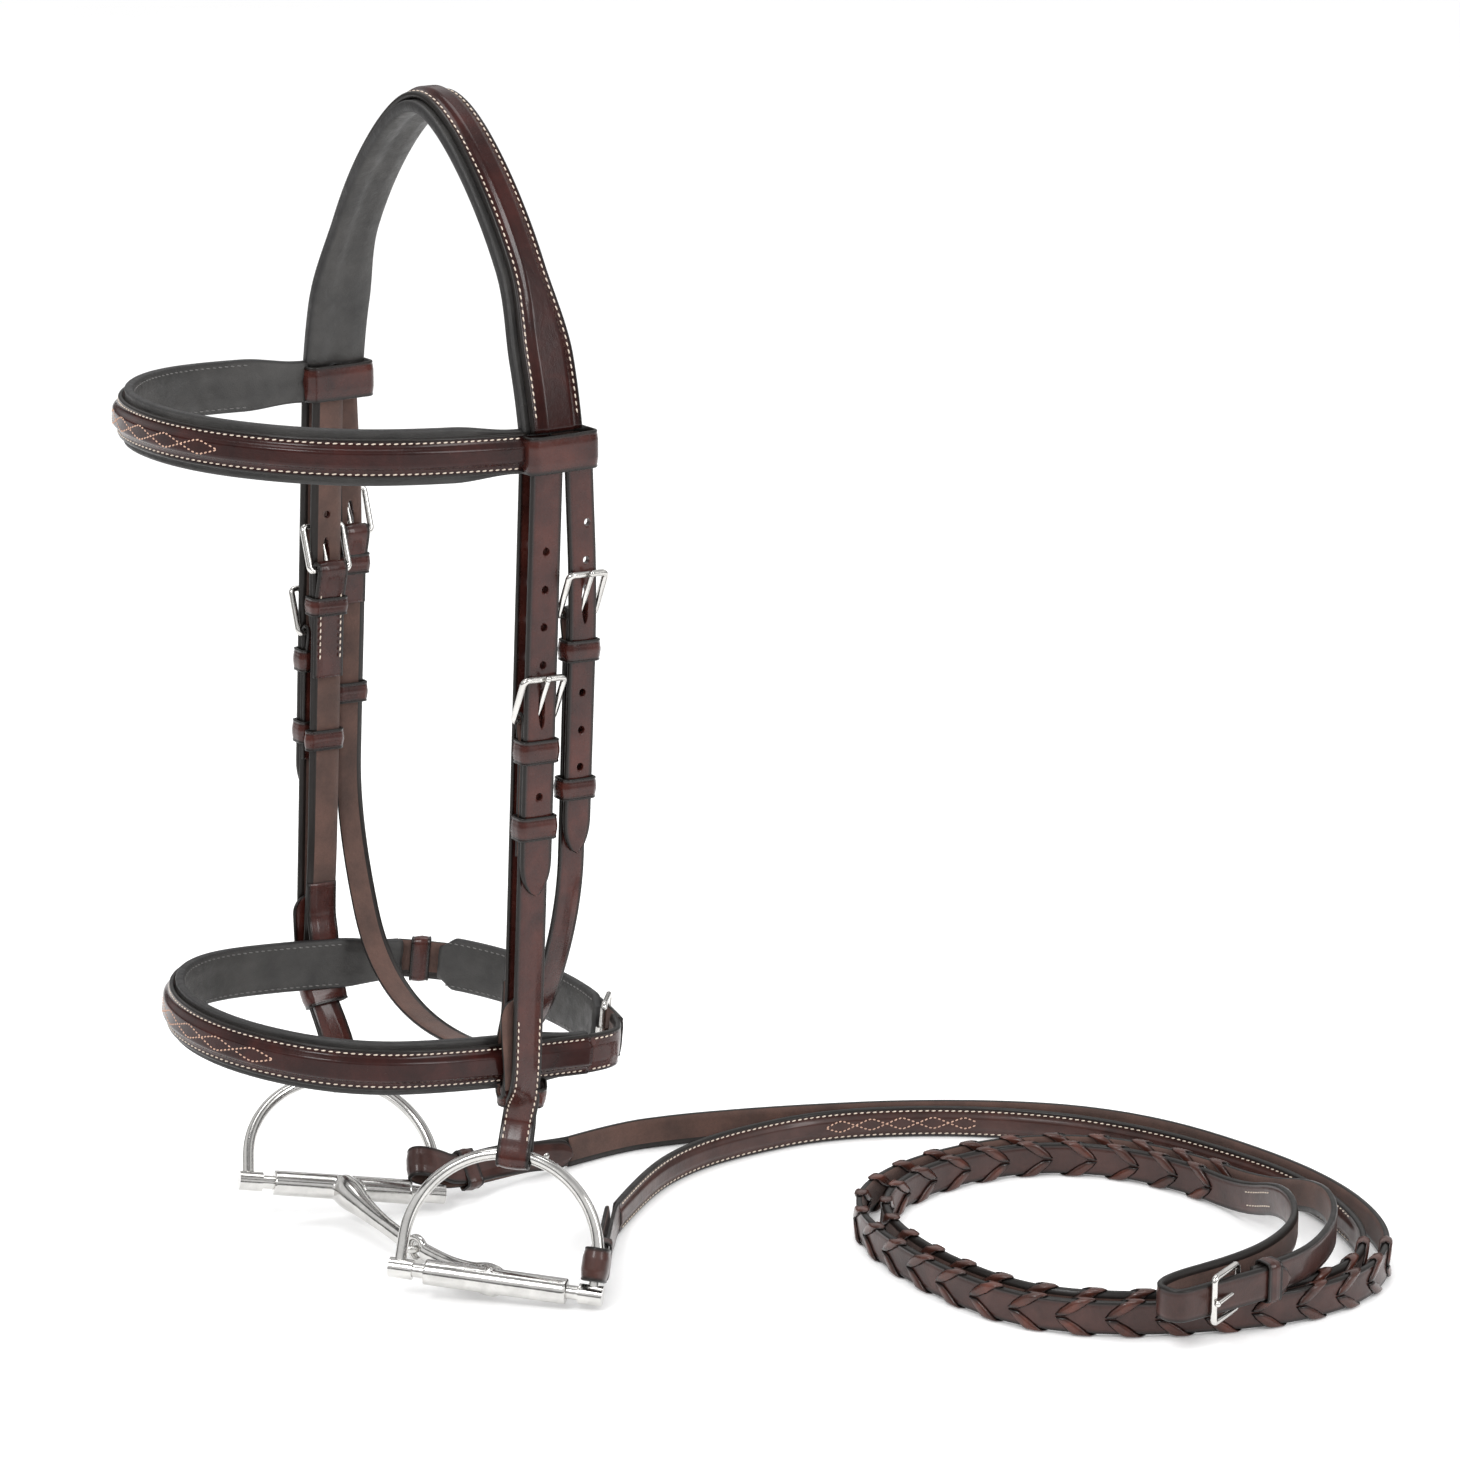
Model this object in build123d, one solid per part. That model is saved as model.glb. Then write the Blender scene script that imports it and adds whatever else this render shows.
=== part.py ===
from build123d import *
import math
import os

# Snaffle bridle with laced reins, in millimetres.
# +X is the horse's left (near) side, -Y is forward (towards the nose), +Z is up.
# The origin is under the crown, where the bridle rests on the poll.
# Heights below are given above the ground that the bit and the reins touch.

POLL = 525.0              # height of the underside of the crown
STRAP = 16.0              # width of cheek straps, hangers and reins
THROAT_STRAP = 14.0
LEATHER = 3.0             # one thickness of strap leather
GAP = 0.3                 # air between pieces that only rest against each other

CROWN_WIDTH = 29.0
CROWN_PAD_WIDTH = 33.0
CROWN_PAD = 7.0
CROWN_LEATHER = 4.0
CROWN_Y = 3.0             # middle of the crown, fore and aft
CROWN_ARCH = [(98, 394), (92, 432), (61, 487), (16, 528.5), (-16, 528.5), (-61, 487), (-92, 432), (-98, 394)]
CROWN_RADII = [120, 120, 36, 36, 120, 120]

BAND_PAD = 5.0            # thickness of the padding behind browband, noseband and jaw strap

BROW_HEIGHT = 389.0
BROW_RISE = 3.4           # degrees that the browband climbs towards the front
BROW_TALL = 25.0
BROW_LOOP_TALL = 17.0
BROW_LINE = [(97, -17), (97, -62), (76, -110), (30, -142), (-30, -142), (-76, -110), (-97, -62), (-97, -17)]
BROW_RADII = [90, 80, 75, 75, 80, 90]

NOSE_HEIGHT = 107.0
NOSE_Y = -20.0            # fore and aft place of the height above
NOSE_TILT = 6.4           # degrees that the noseband climbs towards the front
NOSE_TALL = 24.0
JAW_TALL = 19.0
NOSE_LINE = [(84, 24.3), (87, -40), (76, -96), (28, -128), (-28, -128), (-76, -96), (-87, -40), (-84, 24.3)]
NOSE_RADII = [160, 70, 45, 45, 70, 160]
JAW_LINE = [(84, 27), (66, 53), (24, 66), (-30, 66), (-68, 50), (-84, 27)]
JAW_RADII = [30, 60, 60, 30]
JAW_PAD_LINE = [(38, 61.667), (24, 66), (-30, 66), (-62, 52.526)]

CHEEK_X = 101.0           # middle of the cheek billets
CHEEK_Y = -4.0
HANGER_X = 91.0           # middle of the straps that carry the noseband
THROAT_X = 103.0
THROAT_Y = 15.8
LEAN = -2.6               # degrees that the side straps run forwards on the way down
CHEEK_HEEL = 268.0        # height of the cheek buckle's heel bar
THROAT_HEEL = 314.0
HANGER_HEEL = 300.0
CHEEK_TIP = 188.0
THROAT_TIP = 206.0
BILLET_TOP = 402.0        # where the billets run into the crown
CHEEK_PLAIN_END = 78.0    # below this height a cheekpiece turns to face its dee
HANGER_Y = -4.0
HANGER_IN = 90.1          # inner and outer faces of a noseband hanger
HANGER_OUT = 92.5
HANGER_TOP = 395.0

ROD = 1.5                 # radius of buckle wire
BUCKLE_PITCH = 20.0       # heel bar to toe bar
TONGUE_RING = 2.9
HOLE = 1.7
HOLE_PITCH = 17.0
TONGUE_SLOT = 3.6

DEE_ROD = 2.75
DEE_LENGTH = 90.0         # between the two arms
DEE_DEPTH = 58.0
SLEEVE = 6.0
SLEEVE_LENGTH = 66.0
BAR = 3.2
BAR_FIT = 0.08            # radial clearance of the sleeve on the bar
NEAR_BAR = (104.0, -38.0, 10.5)
OFF_BAR = (-26.0, -43.0, 16.0)
NEAR_TURN = 48.0          # degrees from +X to the bar, seen from above
OFF_TURN = 78.0
NEAR_TIP = -24.0          # degrees that the top of the dee leans back from its bar
OFF_TIP = -46.0
NEAR_ROLL = 5.0           # degrees that the rear end of the bar hangs lower
OFF_ROLL = 13.0
MOUTH_JOINT = (42.0, -44.0, 8.0)  # where the two halves of the mouthpiece are linked
EYE = 5.4                 # mean radius of the two linked eyes of the mouthpiece
EYE_WIRE = 1.8
EYE_STEP = 2.7            # each eye's centre stands this far short of the joint

REIN_THICK = 4.0
NEAR_REIN = [(64, 53), (35, 88), (17, 124), (12, 161), (16, 208), (40, 255), (72, 292), (106, 316), (148, 334)]
OFF_REIN = [(-24, 82), (-27, 113), (-21, 141), (-11, 169), (2, 200), (28, 252), (62, 298), (96, 327), (138, 345)]
COIL_OUTER = [(98, 312), (146, 352), (228, 362), (294, 340), (330, 300), (337, 250), (316, 196), (288, 152),
              (242, 130), (181, 126), (122, 143), (92, 190), (91, 252)]
COIL_INNER = [(190, 308), (240, 306), (270, 283), (284, 240), (277, 196), (255, 165), (215, 147), (170, 146),
              (134, 160), (116, 190), (117, 240), (148, 288)]
COIL_TALL = 17.0
KEEPER_DIP = 2.0          # the rein keeper reaches this far into the top of the coil
HAND_BUCKLE = (329.5, 212.0)
HAND_OUTER = [(233, 322), (262, 317), (292, 300), (314, 272), (325.8, 245), (325.8, 219)]
HAND_INNER = [(222, 308), (255, 300), (285, 283), (303, 255), (311, 225), (311, 172), (329.5, 172), (329.5, 190)]


def place_up(part):
    """Moves a shape made at heights above the ground into the bridle's own frame."""
    return Pos(0, 0, -POLL) * part


def save(name, part):
    export_step(place_up(part), "parts/" + name + ".step")
    print(name, round(part.volume), "mm3")


def report_axis(name, frame, direction):
    """Prints where a joint turns or slides, in the bridle's own frame, in metres."""
    centre = place_up(frame).position
    axis = (frame * Pos(*direction)).position - frame.position
    print("AXIS", name, [round(v / 1000, 6) for v in centre], [round(v, 6) for v in axis])


def offset_corners(points, shift, closed=False):
    """Corner points of a line moved sideways by a shift (positive to the left of travel)."""
    moved = []
    count = len(points)
    for i, (x, y) in enumerate(points):
        normals = []
        for a, b in ((i - 1, i), (i, i + 1)):
            if not closed and (a < 0 or b >= count):
                continue
            ax, ay = points[a % count]
            bx, by = points[b % count]
            run = math.hypot(bx - ax, by - ay)
            normals.append((-(by - ay) / run, (bx - ax) / run))
        nx = sum(n[0] for n in normals)
        ny = sum(n[1] for n in normals)
        scale = shift / (nx * normals[0][0] + ny * normals[0][1])
        moved.append((x + nx * scale, y + ny * scale))
    return moved


def turn_signs(points):
    signs = []
    for (ax, ay), (bx, by), (cx, cy) in zip(points, points[1:], points[2:]):
        cross = (bx - ax) * (cy - by) - (by - ay) * (cx - bx)
        signs.append(1 if cross > 0 else -1)
    return signs


def filleted(points, radii):
    return FilletPolyline(*points, radius=radii)


def ribbon(points, radii, low, high):
    """Face between two offsets of one line; positive offsets lie left of travel."""
    signs = turn_signs(points)
    left = filleted(offset_corners(points, high), [r - s * high for r, s in zip(radii, signs)])
    right = filleted(offset_corners(points, low), [r - s * low for r, s in zip(radii, signs)])
    ends = [Line(left @ 0, right @ 0), Line(left @ 1, right @ 1)]
    return make_face([*left.edges(), *right.edges(), *ends])


def band_upright(points, radii, low, high, bottom, top):
    """Band that stands on edge: a line in plan, given a thickness and a height."""
    return Pos(0, 0, bottom) * extrude(ribbon(points, radii, low, high), top - bottom, dir=(0, 0, 1))


def band_hanging(points, radii, low, high, middle, width):
    """Band seen edge-on from the front: a line of (x, height), as wide as given along Y."""
    flat = extrude(ribbon(points, radii, low, high), width / 2, both=True)
    return Pos(0, middle, 0) * (Rot(90, 0, 0) * flat)


def block(x0, x1, y0, y1, z0, z1):
    return Pos((x0 + x1) / 2, (y0 + y1) / 2, (z0 + z1) / 2) * Box(x1 - x0, y1 - y0, z1 - z0)


def lean(part):
    return part.rotate(Axis((0, 0, BROW_HEIGHT), (1, 0, 0)), LEAN)


def other_side(part):
    return mirror(part, about=Plane.YZ)


def strap_ring(inner_x0, inner_x1, half_width, z0, z1, wall=2.0):
    """Keeper: a flat loop of thin leather around a stack of straps."""
    outer = block(inner_x0 - wall, inner_x1 + wall, -half_width - wall, half_width + wall, z0, z1)
    return outer - block(inner_x0, inner_x1, -half_width, half_width, z0 - 1, z1 + 1)


# --- Buckles, in their own frame: X outwards, Y across the strap, Z along it towards the toe bar.
# The billet's middle plane is X = 0 and the heel bar is at Z = 0, behind the billet.

HEEL_BACK = LEATHER / 2 + 0.2 + 3.3
TOE_FRONT = LEATHER / 2 + 0.2 + ROD
BUCKLE_TILT = math.degrees(math.atan2(HEEL_BACK + TOE_FRONT, BUCKLE_PITCH))
BUCKLE_RUN = math.hypot(HEEL_BACK + TOE_FRONT, BUCKLE_PITCH)


def on_heel(part):
    """Tilts a shape made upright on the heel bar to the buckle's own slope, and puts it on the bar."""
    return Pos(-HEEL_BACK, 0, 0) * (Rot(0, BUCKLE_TILT, 0) * part)


def buckle_frame(width):
    half = width / 2 + 1.0 + ROD
    outline = Plane.YZ * Pos(0, BUCKLE_RUN / 2) * RectangleRounded(2 * half, BUCKLE_RUN, 2.2)
    path = outline.wires()[0]
    rod = Plane(path @ 0, z_dir=path % 0) * Circle(ROD)
    return on_heel(sweep(rod, path=path))


def tongue(width):
    ring = Rot(90, 0, 0) * (Cylinder(TONGUE_RING, 2.8) - Cylinder(ROD + 0.06, 4))
    arm_base = (2.0, 0, 1.4)
    arm_end = (ROD + 1.35, 0, BUCKLE_RUN + 2.0)
    direction = Vector(*arm_end) - Vector(*arm_base)
    arm = extrude(Plane(arm_base, z_dir=direction) * Circle(1.15), direction.length)
    return on_heel(ring + arm + Pos(*arm_end) * Sphere(1.5) - Rot(90, 0, 0) * Cylinder(ROD + 0.06, 4))


def heel_fold(width, length):
    """Strap end folded round the heel bar, with a slot for the tongue, running down behind the billet."""
    back = -LEATHER / 2 - 0.2
    eye = Pos(-HEEL_BACK, 0, 0) * (Rot(90, 0, 0) * Cylinder(3.3, width))
    plate = block(back - 4.0, back, -width / 2, width / 2, -length, 0)
    bore = Pos(-HEEL_BACK, 0, 0) * (Rot(90, 0, 0) * Cylinder(ROD + 0.05, width + 2))
    slot = block(back - 8, back + 1, -2.0, 2.0, -4.2, 5)
    return eye + plate - bore - slot


def billet(width, tip, top, holes):
    """Billet over the heel bar: rounded tip, a slot at the tongue, and round holes at given heights."""
    shape = block(-LEATHER / 2, LEATHER / 2, -width / 2, width / 2, tip + width / 2, top)
    shape += Pos(0, 0, tip + width / 2) * (Rot(0, 90, 0) * Cylinder(width / 2, LEATHER))
    shape -= block(-LEATHER, LEATHER, -TONGUE_SLOT / 2, TONGUE_SLOT / 2, -1.0, 15.5)
    for z in holes:
        shape -= Pos(0, 0, z) * (Rot(0, 90, 0) * Cylinder(HOLE, 2 * LEATHER))
    return shape


def side(part, x, y, z):
    """Puts a piece of a side strap on the near side and gives it the lean of the straps."""
    return lean(Pos(x, y, z) * part)


def both_sides(name, part):
    save("near_" + name, part)
    save("off_" + name, other_side(part))


# --- Headpiece

def make_headpiece():
    lift = Pos(0, 0, POLL + CROWN_PAD - CROWN_ARCH[3][1])
    pad = lift * band_hanging(CROWN_ARCH, CROWN_RADII, 0, CROWN_PAD, CROWN_Y, CROWN_PAD_WIDTH)
    leather = lift * band_hanging(CROWN_ARCH, CROWN_RADII, -CROWN_LEATHER, 0, CROWN_Y, CROWN_WIDTH)
    spare = [HOLE_PITCH * n + 9 for n in (1, 2, 3, 4)]
    cheek = billet(STRAP, CHEEK_TIP - CHEEK_HEEL, BILLET_TOP - CHEEK_HEEL, [-HOLE_PITCH] + spare)
    throat = billet(THROAT_STRAP, THROAT_TIP - THROAT_HEEL, BILLET_TOP - THROAT_HEEL,
                    [-HOLE_PITCH, -2 * HOLE_PITCH, -3 * HOLE_PITCH] + spare[:2])
    billets = side(cheek, CHEEK_X, CHEEK_Y, CHEEK_HEEL) + side(throat, THROAT_X, THROAT_Y, THROAT_HEEL)
    save("crown_padding", pad)
    save("headpiece_leather", leather + billets + other_side(billets))


def make_browband():
    climb = Pos(0, 0, BROW_HEIGHT) * Rot(-BROW_RISE, 0, 0)
    half = BROW_TALL / 2
    leather = band_upright(BROW_LINE, BROW_RADII, 0, LEATHER, -half, half)
    padding = band_upright(BROW_LINE, BROW_RADII, -BAND_PAD, 0, -half, half)
    save("browband_leather", climb * leather)
    save("browband_padding", climb * padding)
    loop = block(87.5, 107.0, -15.2, 26.0, BROW_HEIGHT - BROW_LOOP_TALL / 2, BROW_HEIGHT + BROW_LOOP_TALL / 2)
    loop -= block(89.1, 105.4, -13.6, 24.4, 0, POLL)
    both_sides("browband_loop", loop)


# --- Noseband

def tilt_noseband(part):
    return Pos(0, NOSE_Y, NOSE_HEIGHT) * Rot(-NOSE_TILT, 0, 0) * Pos(0, -NOSE_Y, 0) * part


def make_noseband():
    half = NOSE_TALL / 2
    save("noseband_leather", tilt_noseband(band_upright(NOSE_LINE, NOSE_RADII, 0, LEATHER, -half, half)))
    save("noseband_padding", tilt_noseband(band_upright(NOSE_LINE, NOSE_RADII, -BAND_PAD, 0, -half, half)))
    half = JAW_TALL / 2
    strap = band_upright(JAW_LINE, JAW_RADII, -LEATHER, 0, -half, half)
    pad = band_upright(JAW_PAD_LINE, JAW_RADII[1:3], 0.12, BAND_PAD, -half - 3, half + 3)
    save("jaw_padding", tilt_noseband(pad))
    run = Vector(JAW_LINE[2][0] - JAW_LINE[1][0], JAW_LINE[2][1] - JAW_LINE[1][1], 0).normalized()
    out = Vector(run.Y, -run.X, 0)
    heel = Vector(*JAW_LINE[1], 0) + run * 12 + out * (LEATHER / 2)
    at_heel = Plane(heel, x_dir=out, z_dir=run).location
    slot = at_heel * block(-LEATHER, LEATHER, -TONGUE_SLOT / 2, TONGUE_SLOT / 2, -1, 15.5)
    save("jaw_strap", tilt_noseband(strap - slot))
    chape_line = [JAW_LINE[0], JAW_LINE[1], tuple(Vector(*JAW_LINE[1], 0) + run * 11)[:2]]
    chape = band_upright(chape_line, [JAW_RADII[0] - 2], 0.2, 4.2, -half, half)
    room = at_heel * (block(-8, 1, -2, 2, -4.2, 5) + Rot(90, 0, 0) * Pos(-HEEL_BACK, 0, 0) * Cylinder(ROD + 0.05, 60))
    chape += at_heel * heel_fold(JAW_TALL, 4)
    save("noseband_chape", tilt_noseband(chape - room))
    save("noseband_buckle", tilt_noseband(at_heel * buckle_frame(JAW_TALL)))
    report_axis("noseband heel bar", tilt_noseband(at_heel) * Pos(-HEEL_BACK, 0, 0), Vector(0, 1, 0))
    save("noseband_tongue", tilt_noseband(at_heel * tongue(JAW_TALL)))
    keeper = Pos(-80.6, 34.5, 0) * Rot(0, 0, 55) * (Box(10, 6.4, JAW_TALL + 4) - Box(12, 3.6, JAW_TALL + 1))
    save("jaw_keeper", tilt_noseband(keeper))


def hanger_loop():
    """Stitched end of a hanger, folded under the noseband, with the strap above it."""
    outer = block(78.7, HANGER_OUT, -STRAP / 2, STRAP / 2, 91.0, 122.5)
    return outer - block(80.3, HANGER_IN, -STRAP, STRAP, 93.2, 120.9)


def make_hangers():
    near = hanger_loop() + block(HANGER_IN, HANGER_OUT, -STRAP / 2, STRAP / 2, 120, HANGER_TOP)
    save("near_noseband_hanger", shift_back(near))
    strap = Pos(HANGER_X, 0, HANGER_HEEL) * billet(STRAP, -34, HANGER_TOP - HANGER_HEEL, [26, 43, 60, -17])
    save("off_hanger_billet", other_side(shift_back(strap)))
    fold = Pos(HANGER_X, 0, HANGER_HEEL) * heel_fold(STRAP, HANGER_HEEL - 130)
    bridge = block(HANGER_X - 5.7, HANGER_OUT, -STRAP / 2, STRAP / 2, 120, 136)
    save("off_noseband_hanger", other_side(shift_back(hanger_loop() + fold + bridge)))
    at_bar = Pos(HANGER_X, 0, HANGER_HEEL)
    save("off_hanger_buckle", other_side(shift_back(at_bar * buckle_frame(STRAP))))
    save("off_hanger_tongue", other_side(shift_back(at_bar * tongue(STRAP))))
    keeper = at_bar * strap_ring(-6.0, 1.8, STRAP / 2 + GAP, -22, -13, 1.4)
    save("off_hanger_keeper", other_side(shift_back(keeper)))


def shift_back(part):
    return lean(Pos(0, HANGER_Y, 0) * part)


# --- Throatlatch: one long strap hanging in a U under the throat, with a buckle at each end

def make_throatlatch():
    inner = THROAT_X - LEATHER / 2 - 0.2 - 4.0
    line = [(inner + 2, 308), (inner + 2, 165), (58, 90), (-58, 90), (-inner - 2, 165), (-inner - 2, 308)]
    strap = band_hanging(line, [60, 45, 45, 60], -2, 2, THROAT_Y, THROAT_STRAP)
    fold = Pos(THROAT_X, THROAT_Y, THROAT_HEEL) * heel_fold(THROAT_STRAP, 10)
    cut = Pos(THROAT_X, THROAT_Y, THROAT_HEEL) * block(-8, 1, -2, 2, -4.2, 5)
    save("throatlatch_strap", lean(strap + fold + other_side(fold) - cut - other_side(cut)))
    both_sides("throat_buckle", side(buckle_frame(THROAT_STRAP), THROAT_X, THROAT_Y, THROAT_HEEL))
    both_sides("throat_tongue", side(tongue(THROAT_STRAP), THROAT_X, THROAT_Y, THROAT_HEEL))
    for name, top in (("throat_keeper", -10), ("throat_runner", -73)):
        ring = strap_ring(-6.0, 1.8, THROAT_STRAP / 2 + GAP, top - 10, top, 1.4)
        both_sides(name, side(ring, THROAT_X, THROAT_Y, THROAT_HEEL))


# --- Bit: two dee rings and a mouthpiece of two cannons linked in the middle

def on_dee(bar, turn, tip, roll):
    """Frame of a dee: X along the bar to its rear end, Z towards the top of the bow."""
    return Pos(*bar) * Rot(0, 0, turn) * Rot(tip, 0, 0) * Rot(0, roll, 0)


def dee_ring():
    half = DEE_LENGTH / 2
    straight = DEE_DEPTH - half
    outline = Plane.XZ * (
        Line((-half, 0), (-half, straight))
        + ThreePointArc((-half, straight), (0, DEE_DEPTH), (half, straight))
        + Line((half, straight), (half, 0)))
    bow = sweep(Plane((-half, 0, 0), z_dir=(0, 0, 1)) * Circle(DEE_ROD), path=outline)
    bar = Rot(0, 90, 0) * Cylinder(BAR, DEE_LENGTH + 2)
    caps = [Pos(s * (half - 1), 0, 0) * (Rot(0, 90, 0) * Cylinder(4.6, 11)) for s in (-1, 1)]
    return bow + bar + caps[0] + caps[1]


def cannon(joint, frame, eye_turn):
    """Half of the mouthpiece: a sleeve on the dee's bar, an arm and a flat eye at the joint."""
    outer = frame * (Rot(0, 90, 0) * Cylinder(SLEEVE, SLEEVE_LENGTH))
    bore = frame * (Rot(0, 90, 0) * Cylinder(BAR + BAR_FIT, SLEEVE_LENGTH + 4))
    start = frame.position
    reach = joint - start
    length = reach.length
    along = Plane(start, x_dir=(0, 0, 1), z_dir=reach)
    arm_length = length - EYE_STEP - EYE
    arm = along * Pos(0, 0, arm_length / 2) * Cone(SLEEVE, 3.6, arm_length)
    eye = along * Pos(0, 0, length - EYE_STEP) * Rot(0, 0, eye_turn) * (Rot(90, 0, 0) * Torus(EYE, EYE_WIRE))
    return outer + arm + eye - bore


def make_bit():
    near = on_dee(NEAR_BAR, NEAR_TURN, NEAR_TIP, NEAR_ROLL)
    off = on_dee(OFF_BAR, OFF_TURN, OFF_TIP, OFF_ROLL)
    save("near_dee", near * dee_ring())
    save("off_dee", off * dee_ring())
    joint = Vector(*MOUTH_JOINT)
    for name, frame, turn in (("near_cannon", near, 0), ("off_cannon", off, 90)):
        save(name, cannon(joint, frame, turn))
    report_axis("near bar", near, Vector(1, 0, 0))
    report_axis("off bar", off, Vector(1, 0, 0))
    return near, off


# --- Cheekpieces

def bow_top(frame):
    return frame * Pos(0, 0, DEE_DEPTH)


def make_cheekpiece(name, frame, flip):
    """Strap from the buckle down round the dee's bow, turning to face along it, and folded up inside."""
    fold = side(heel_fold(STRAP, CHEEK_HEEL - CHEEK_PLAIN_END), CHEEK_X, CHEEK_Y, CHEEK_HEEL)
    strap = fold if flip > 0 else other_side(fold)
    top = bow_top(frame)
    plies = 5.0
    eye = top * Pos(0, 0, -0.4) * (Rot(0, 90, 0) * (Cylinder(6.4, STRAP) - Cylinder(3.9, STRAP + 4)))
    reach_x = CHEEK_X - LEATHER / 2 - 0.2 - plies / 2
    upper = lean(Pos(reach_x, CHEEK_Y, CHEEK_PLAIN_END) * Rot(0, 0, 90) * Rectangle(STRAP, 4.0))
    if flip < 0:
        upper = other_side(upper)
    lower = top * Pos(0, 0, 5.4) * Rectangle(STRAP, plies)
    twist = loft([upper.face(), lower.face()], ruled=True)
    inner = lean(block(reach_x - 3.7, reach_x - 1.5, CHEEK_Y - 12, CHEEK_Y + 5, CHEEK_PLAIN_END, 137))
    keeper = lean(strap_keeper(reach_x))
    if flip < 0:
        inner = other_side(inner)
        keeper = other_side(keeper)
    save(name + "_cheekpiece", strap + inner + twist + eye)
    save(name + "_lower_keeper", keeper)


def strap_keeper(middle):
    """Keeper that holds the turned-up end of a cheekpiece, above the dee."""
    outer = block(middle - 5.6, middle + 4.2, CHEEK_Y - 14, CHEEK_Y + 10, CHEEK_PLAIN_END + 1, CHEEK_PLAIN_END + 11)
    return outer - block(middle - 4.0, middle + 2.8, CHEEK_Y - 12.5, CHEEK_Y + 8.5, 0, POLL)


def report_side_joints():
    lean_frame = Pos(0, 0, BROW_HEIGHT) * Rot(LEAN, 0, 0) * Pos(0, 0, -BROW_HEIGHT)
    for name, x, y, z in (("cheek", CHEEK_X, CHEEK_Y, CHEEK_HEEL), ("throat", THROAT_X, THROAT_Y, THROAT_HEEL),
                          ("hanger", HANGER_X, HANGER_Y, HANGER_HEEL)):
        report_axis(name + " heel bar", lean_frame * Pos(x - HEEL_BACK, y, z), Vector(0, 1, 0))
    report_axis("side straps", lean_frame, Vector(0, 0, 1))


def make_cheeks(near, off):
    make_cheekpiece("near", near, 1)
    make_cheekpiece("off", off, -1)
    both_sides("cheek_buckle", side(buckle_frame(STRAP), CHEEK_X, CHEEK_Y, CHEEK_HEEL))
    both_sides("cheek_tongue", side(tongue(STRAP), CHEEK_X, CHEEK_Y, CHEEK_HEEL))
    fixed = strap_ring(-6.0, 1.8, STRAP / 2 + GAP, -19, -8, 1.4)
    both_sides("cheek_keeper", side(fixed, CHEEK_X, CHEEK_Y, CHEEK_HEEL))
    runner = strap_ring(-6.1, 1.9, STRAP / 2 + 0.4, -54, -43, 1.4)
    both_sides("cheek_runner", side(runner, CHEEK_X, CHEEK_Y, CHEEK_HEEL))


# --- Reins: two straps standing on edge, laid in one coil, buckled together in the middle

def cord_radii(points):
    """Largest tangent arcs that the runs on each side of a corner leave room for."""
    radii = []
    for a, b, c in zip(points, points[1:], points[2:]):
        before = Vector(*b) - Vector(*a)
        after = Vector(*c) - Vector(*b)
        half_turn = math.radians(before.get_angle(after)) / 2
        radii.append(0.45 * min(before.length, after.length) / math.tan(half_turn))
    return radii


def flat_cord(name, points, bottom, cut=None, add=None):
    """Strap on edge along a route in plan, with its bottom edge at the given height."""
    radii = cord_radii(points)
    route = filleted(points, radii)
    solid = band_upright(points, radii, -REIN_THICK / 2, REIN_THICK / 2, bottom, bottom + STRAP)
    print(name, "radii", [round(r) for r in radii], "length", round(route.length, 1),
          "volume ratio", round(solid.volume / (route.length * REIN_THICK * STRAP), 3))
    if cut is not None:
        solid = max((solid - cut).solids(), key=lambda piece: piece.volume)
    if add is not None:
        solid = solid + add
    save(name, solid)


def closed_face(points, radius):
    return fillet(Polygon(*points, align=None).vertices(), radius)


def make_coil():
    ring = closed_face(COIL_OUTER, 45) - closed_face(COIL_INNER, 30)
    coil = extrude(ring, COIL_TALL, dir=(0, 0, 1))
    coil -= Pos(HAND_BUCKLE[0], HAND_BUCKLE[1] + 16, COIL_TALL) * Box(24, 10, 2 * KEEPER_DIP)
    save("rein_coil", coil)
    return coil


def make_rein_end(name, frame, start, ahead):
    """End of a rein, folded round the rear arm of a dee and laid back along the rein."""
    arm = frame * Pos(DEE_LENGTH / 2 - 0.4, 0, 13.6)
    eye = arm * (Cylinder(6.8, STRAP) - Cylinder(4.2, STRAP + 2))
    goal = Vector(start[0], start[1], STRAP / 2)
    away = goal - arm.position
    along = Vector(away.X, away.Y, away.Z).normalized()
    up = Vector(*((arm * Pos(0, 0, 1)).position - arm.position))
    first = Plane(arm.position + along * 5.6, x_dir=up, z_dir=along) * Rectangle(STRAP, REIN_THICK)
    route = Vector(ahead[0] - start[0], ahead[1] - start[1], 0)
    last = Plane(goal, x_dir=(0, 0, 1), z_dir=route) * Rectangle(STRAP, REIN_THICK)
    tail = loft([first.faces()[0], last.faces()[0]], ruled=True)
    bore = arm * Cylinder(4.2, STRAP + 12)
    save(name, eye + tail - bore)


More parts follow.
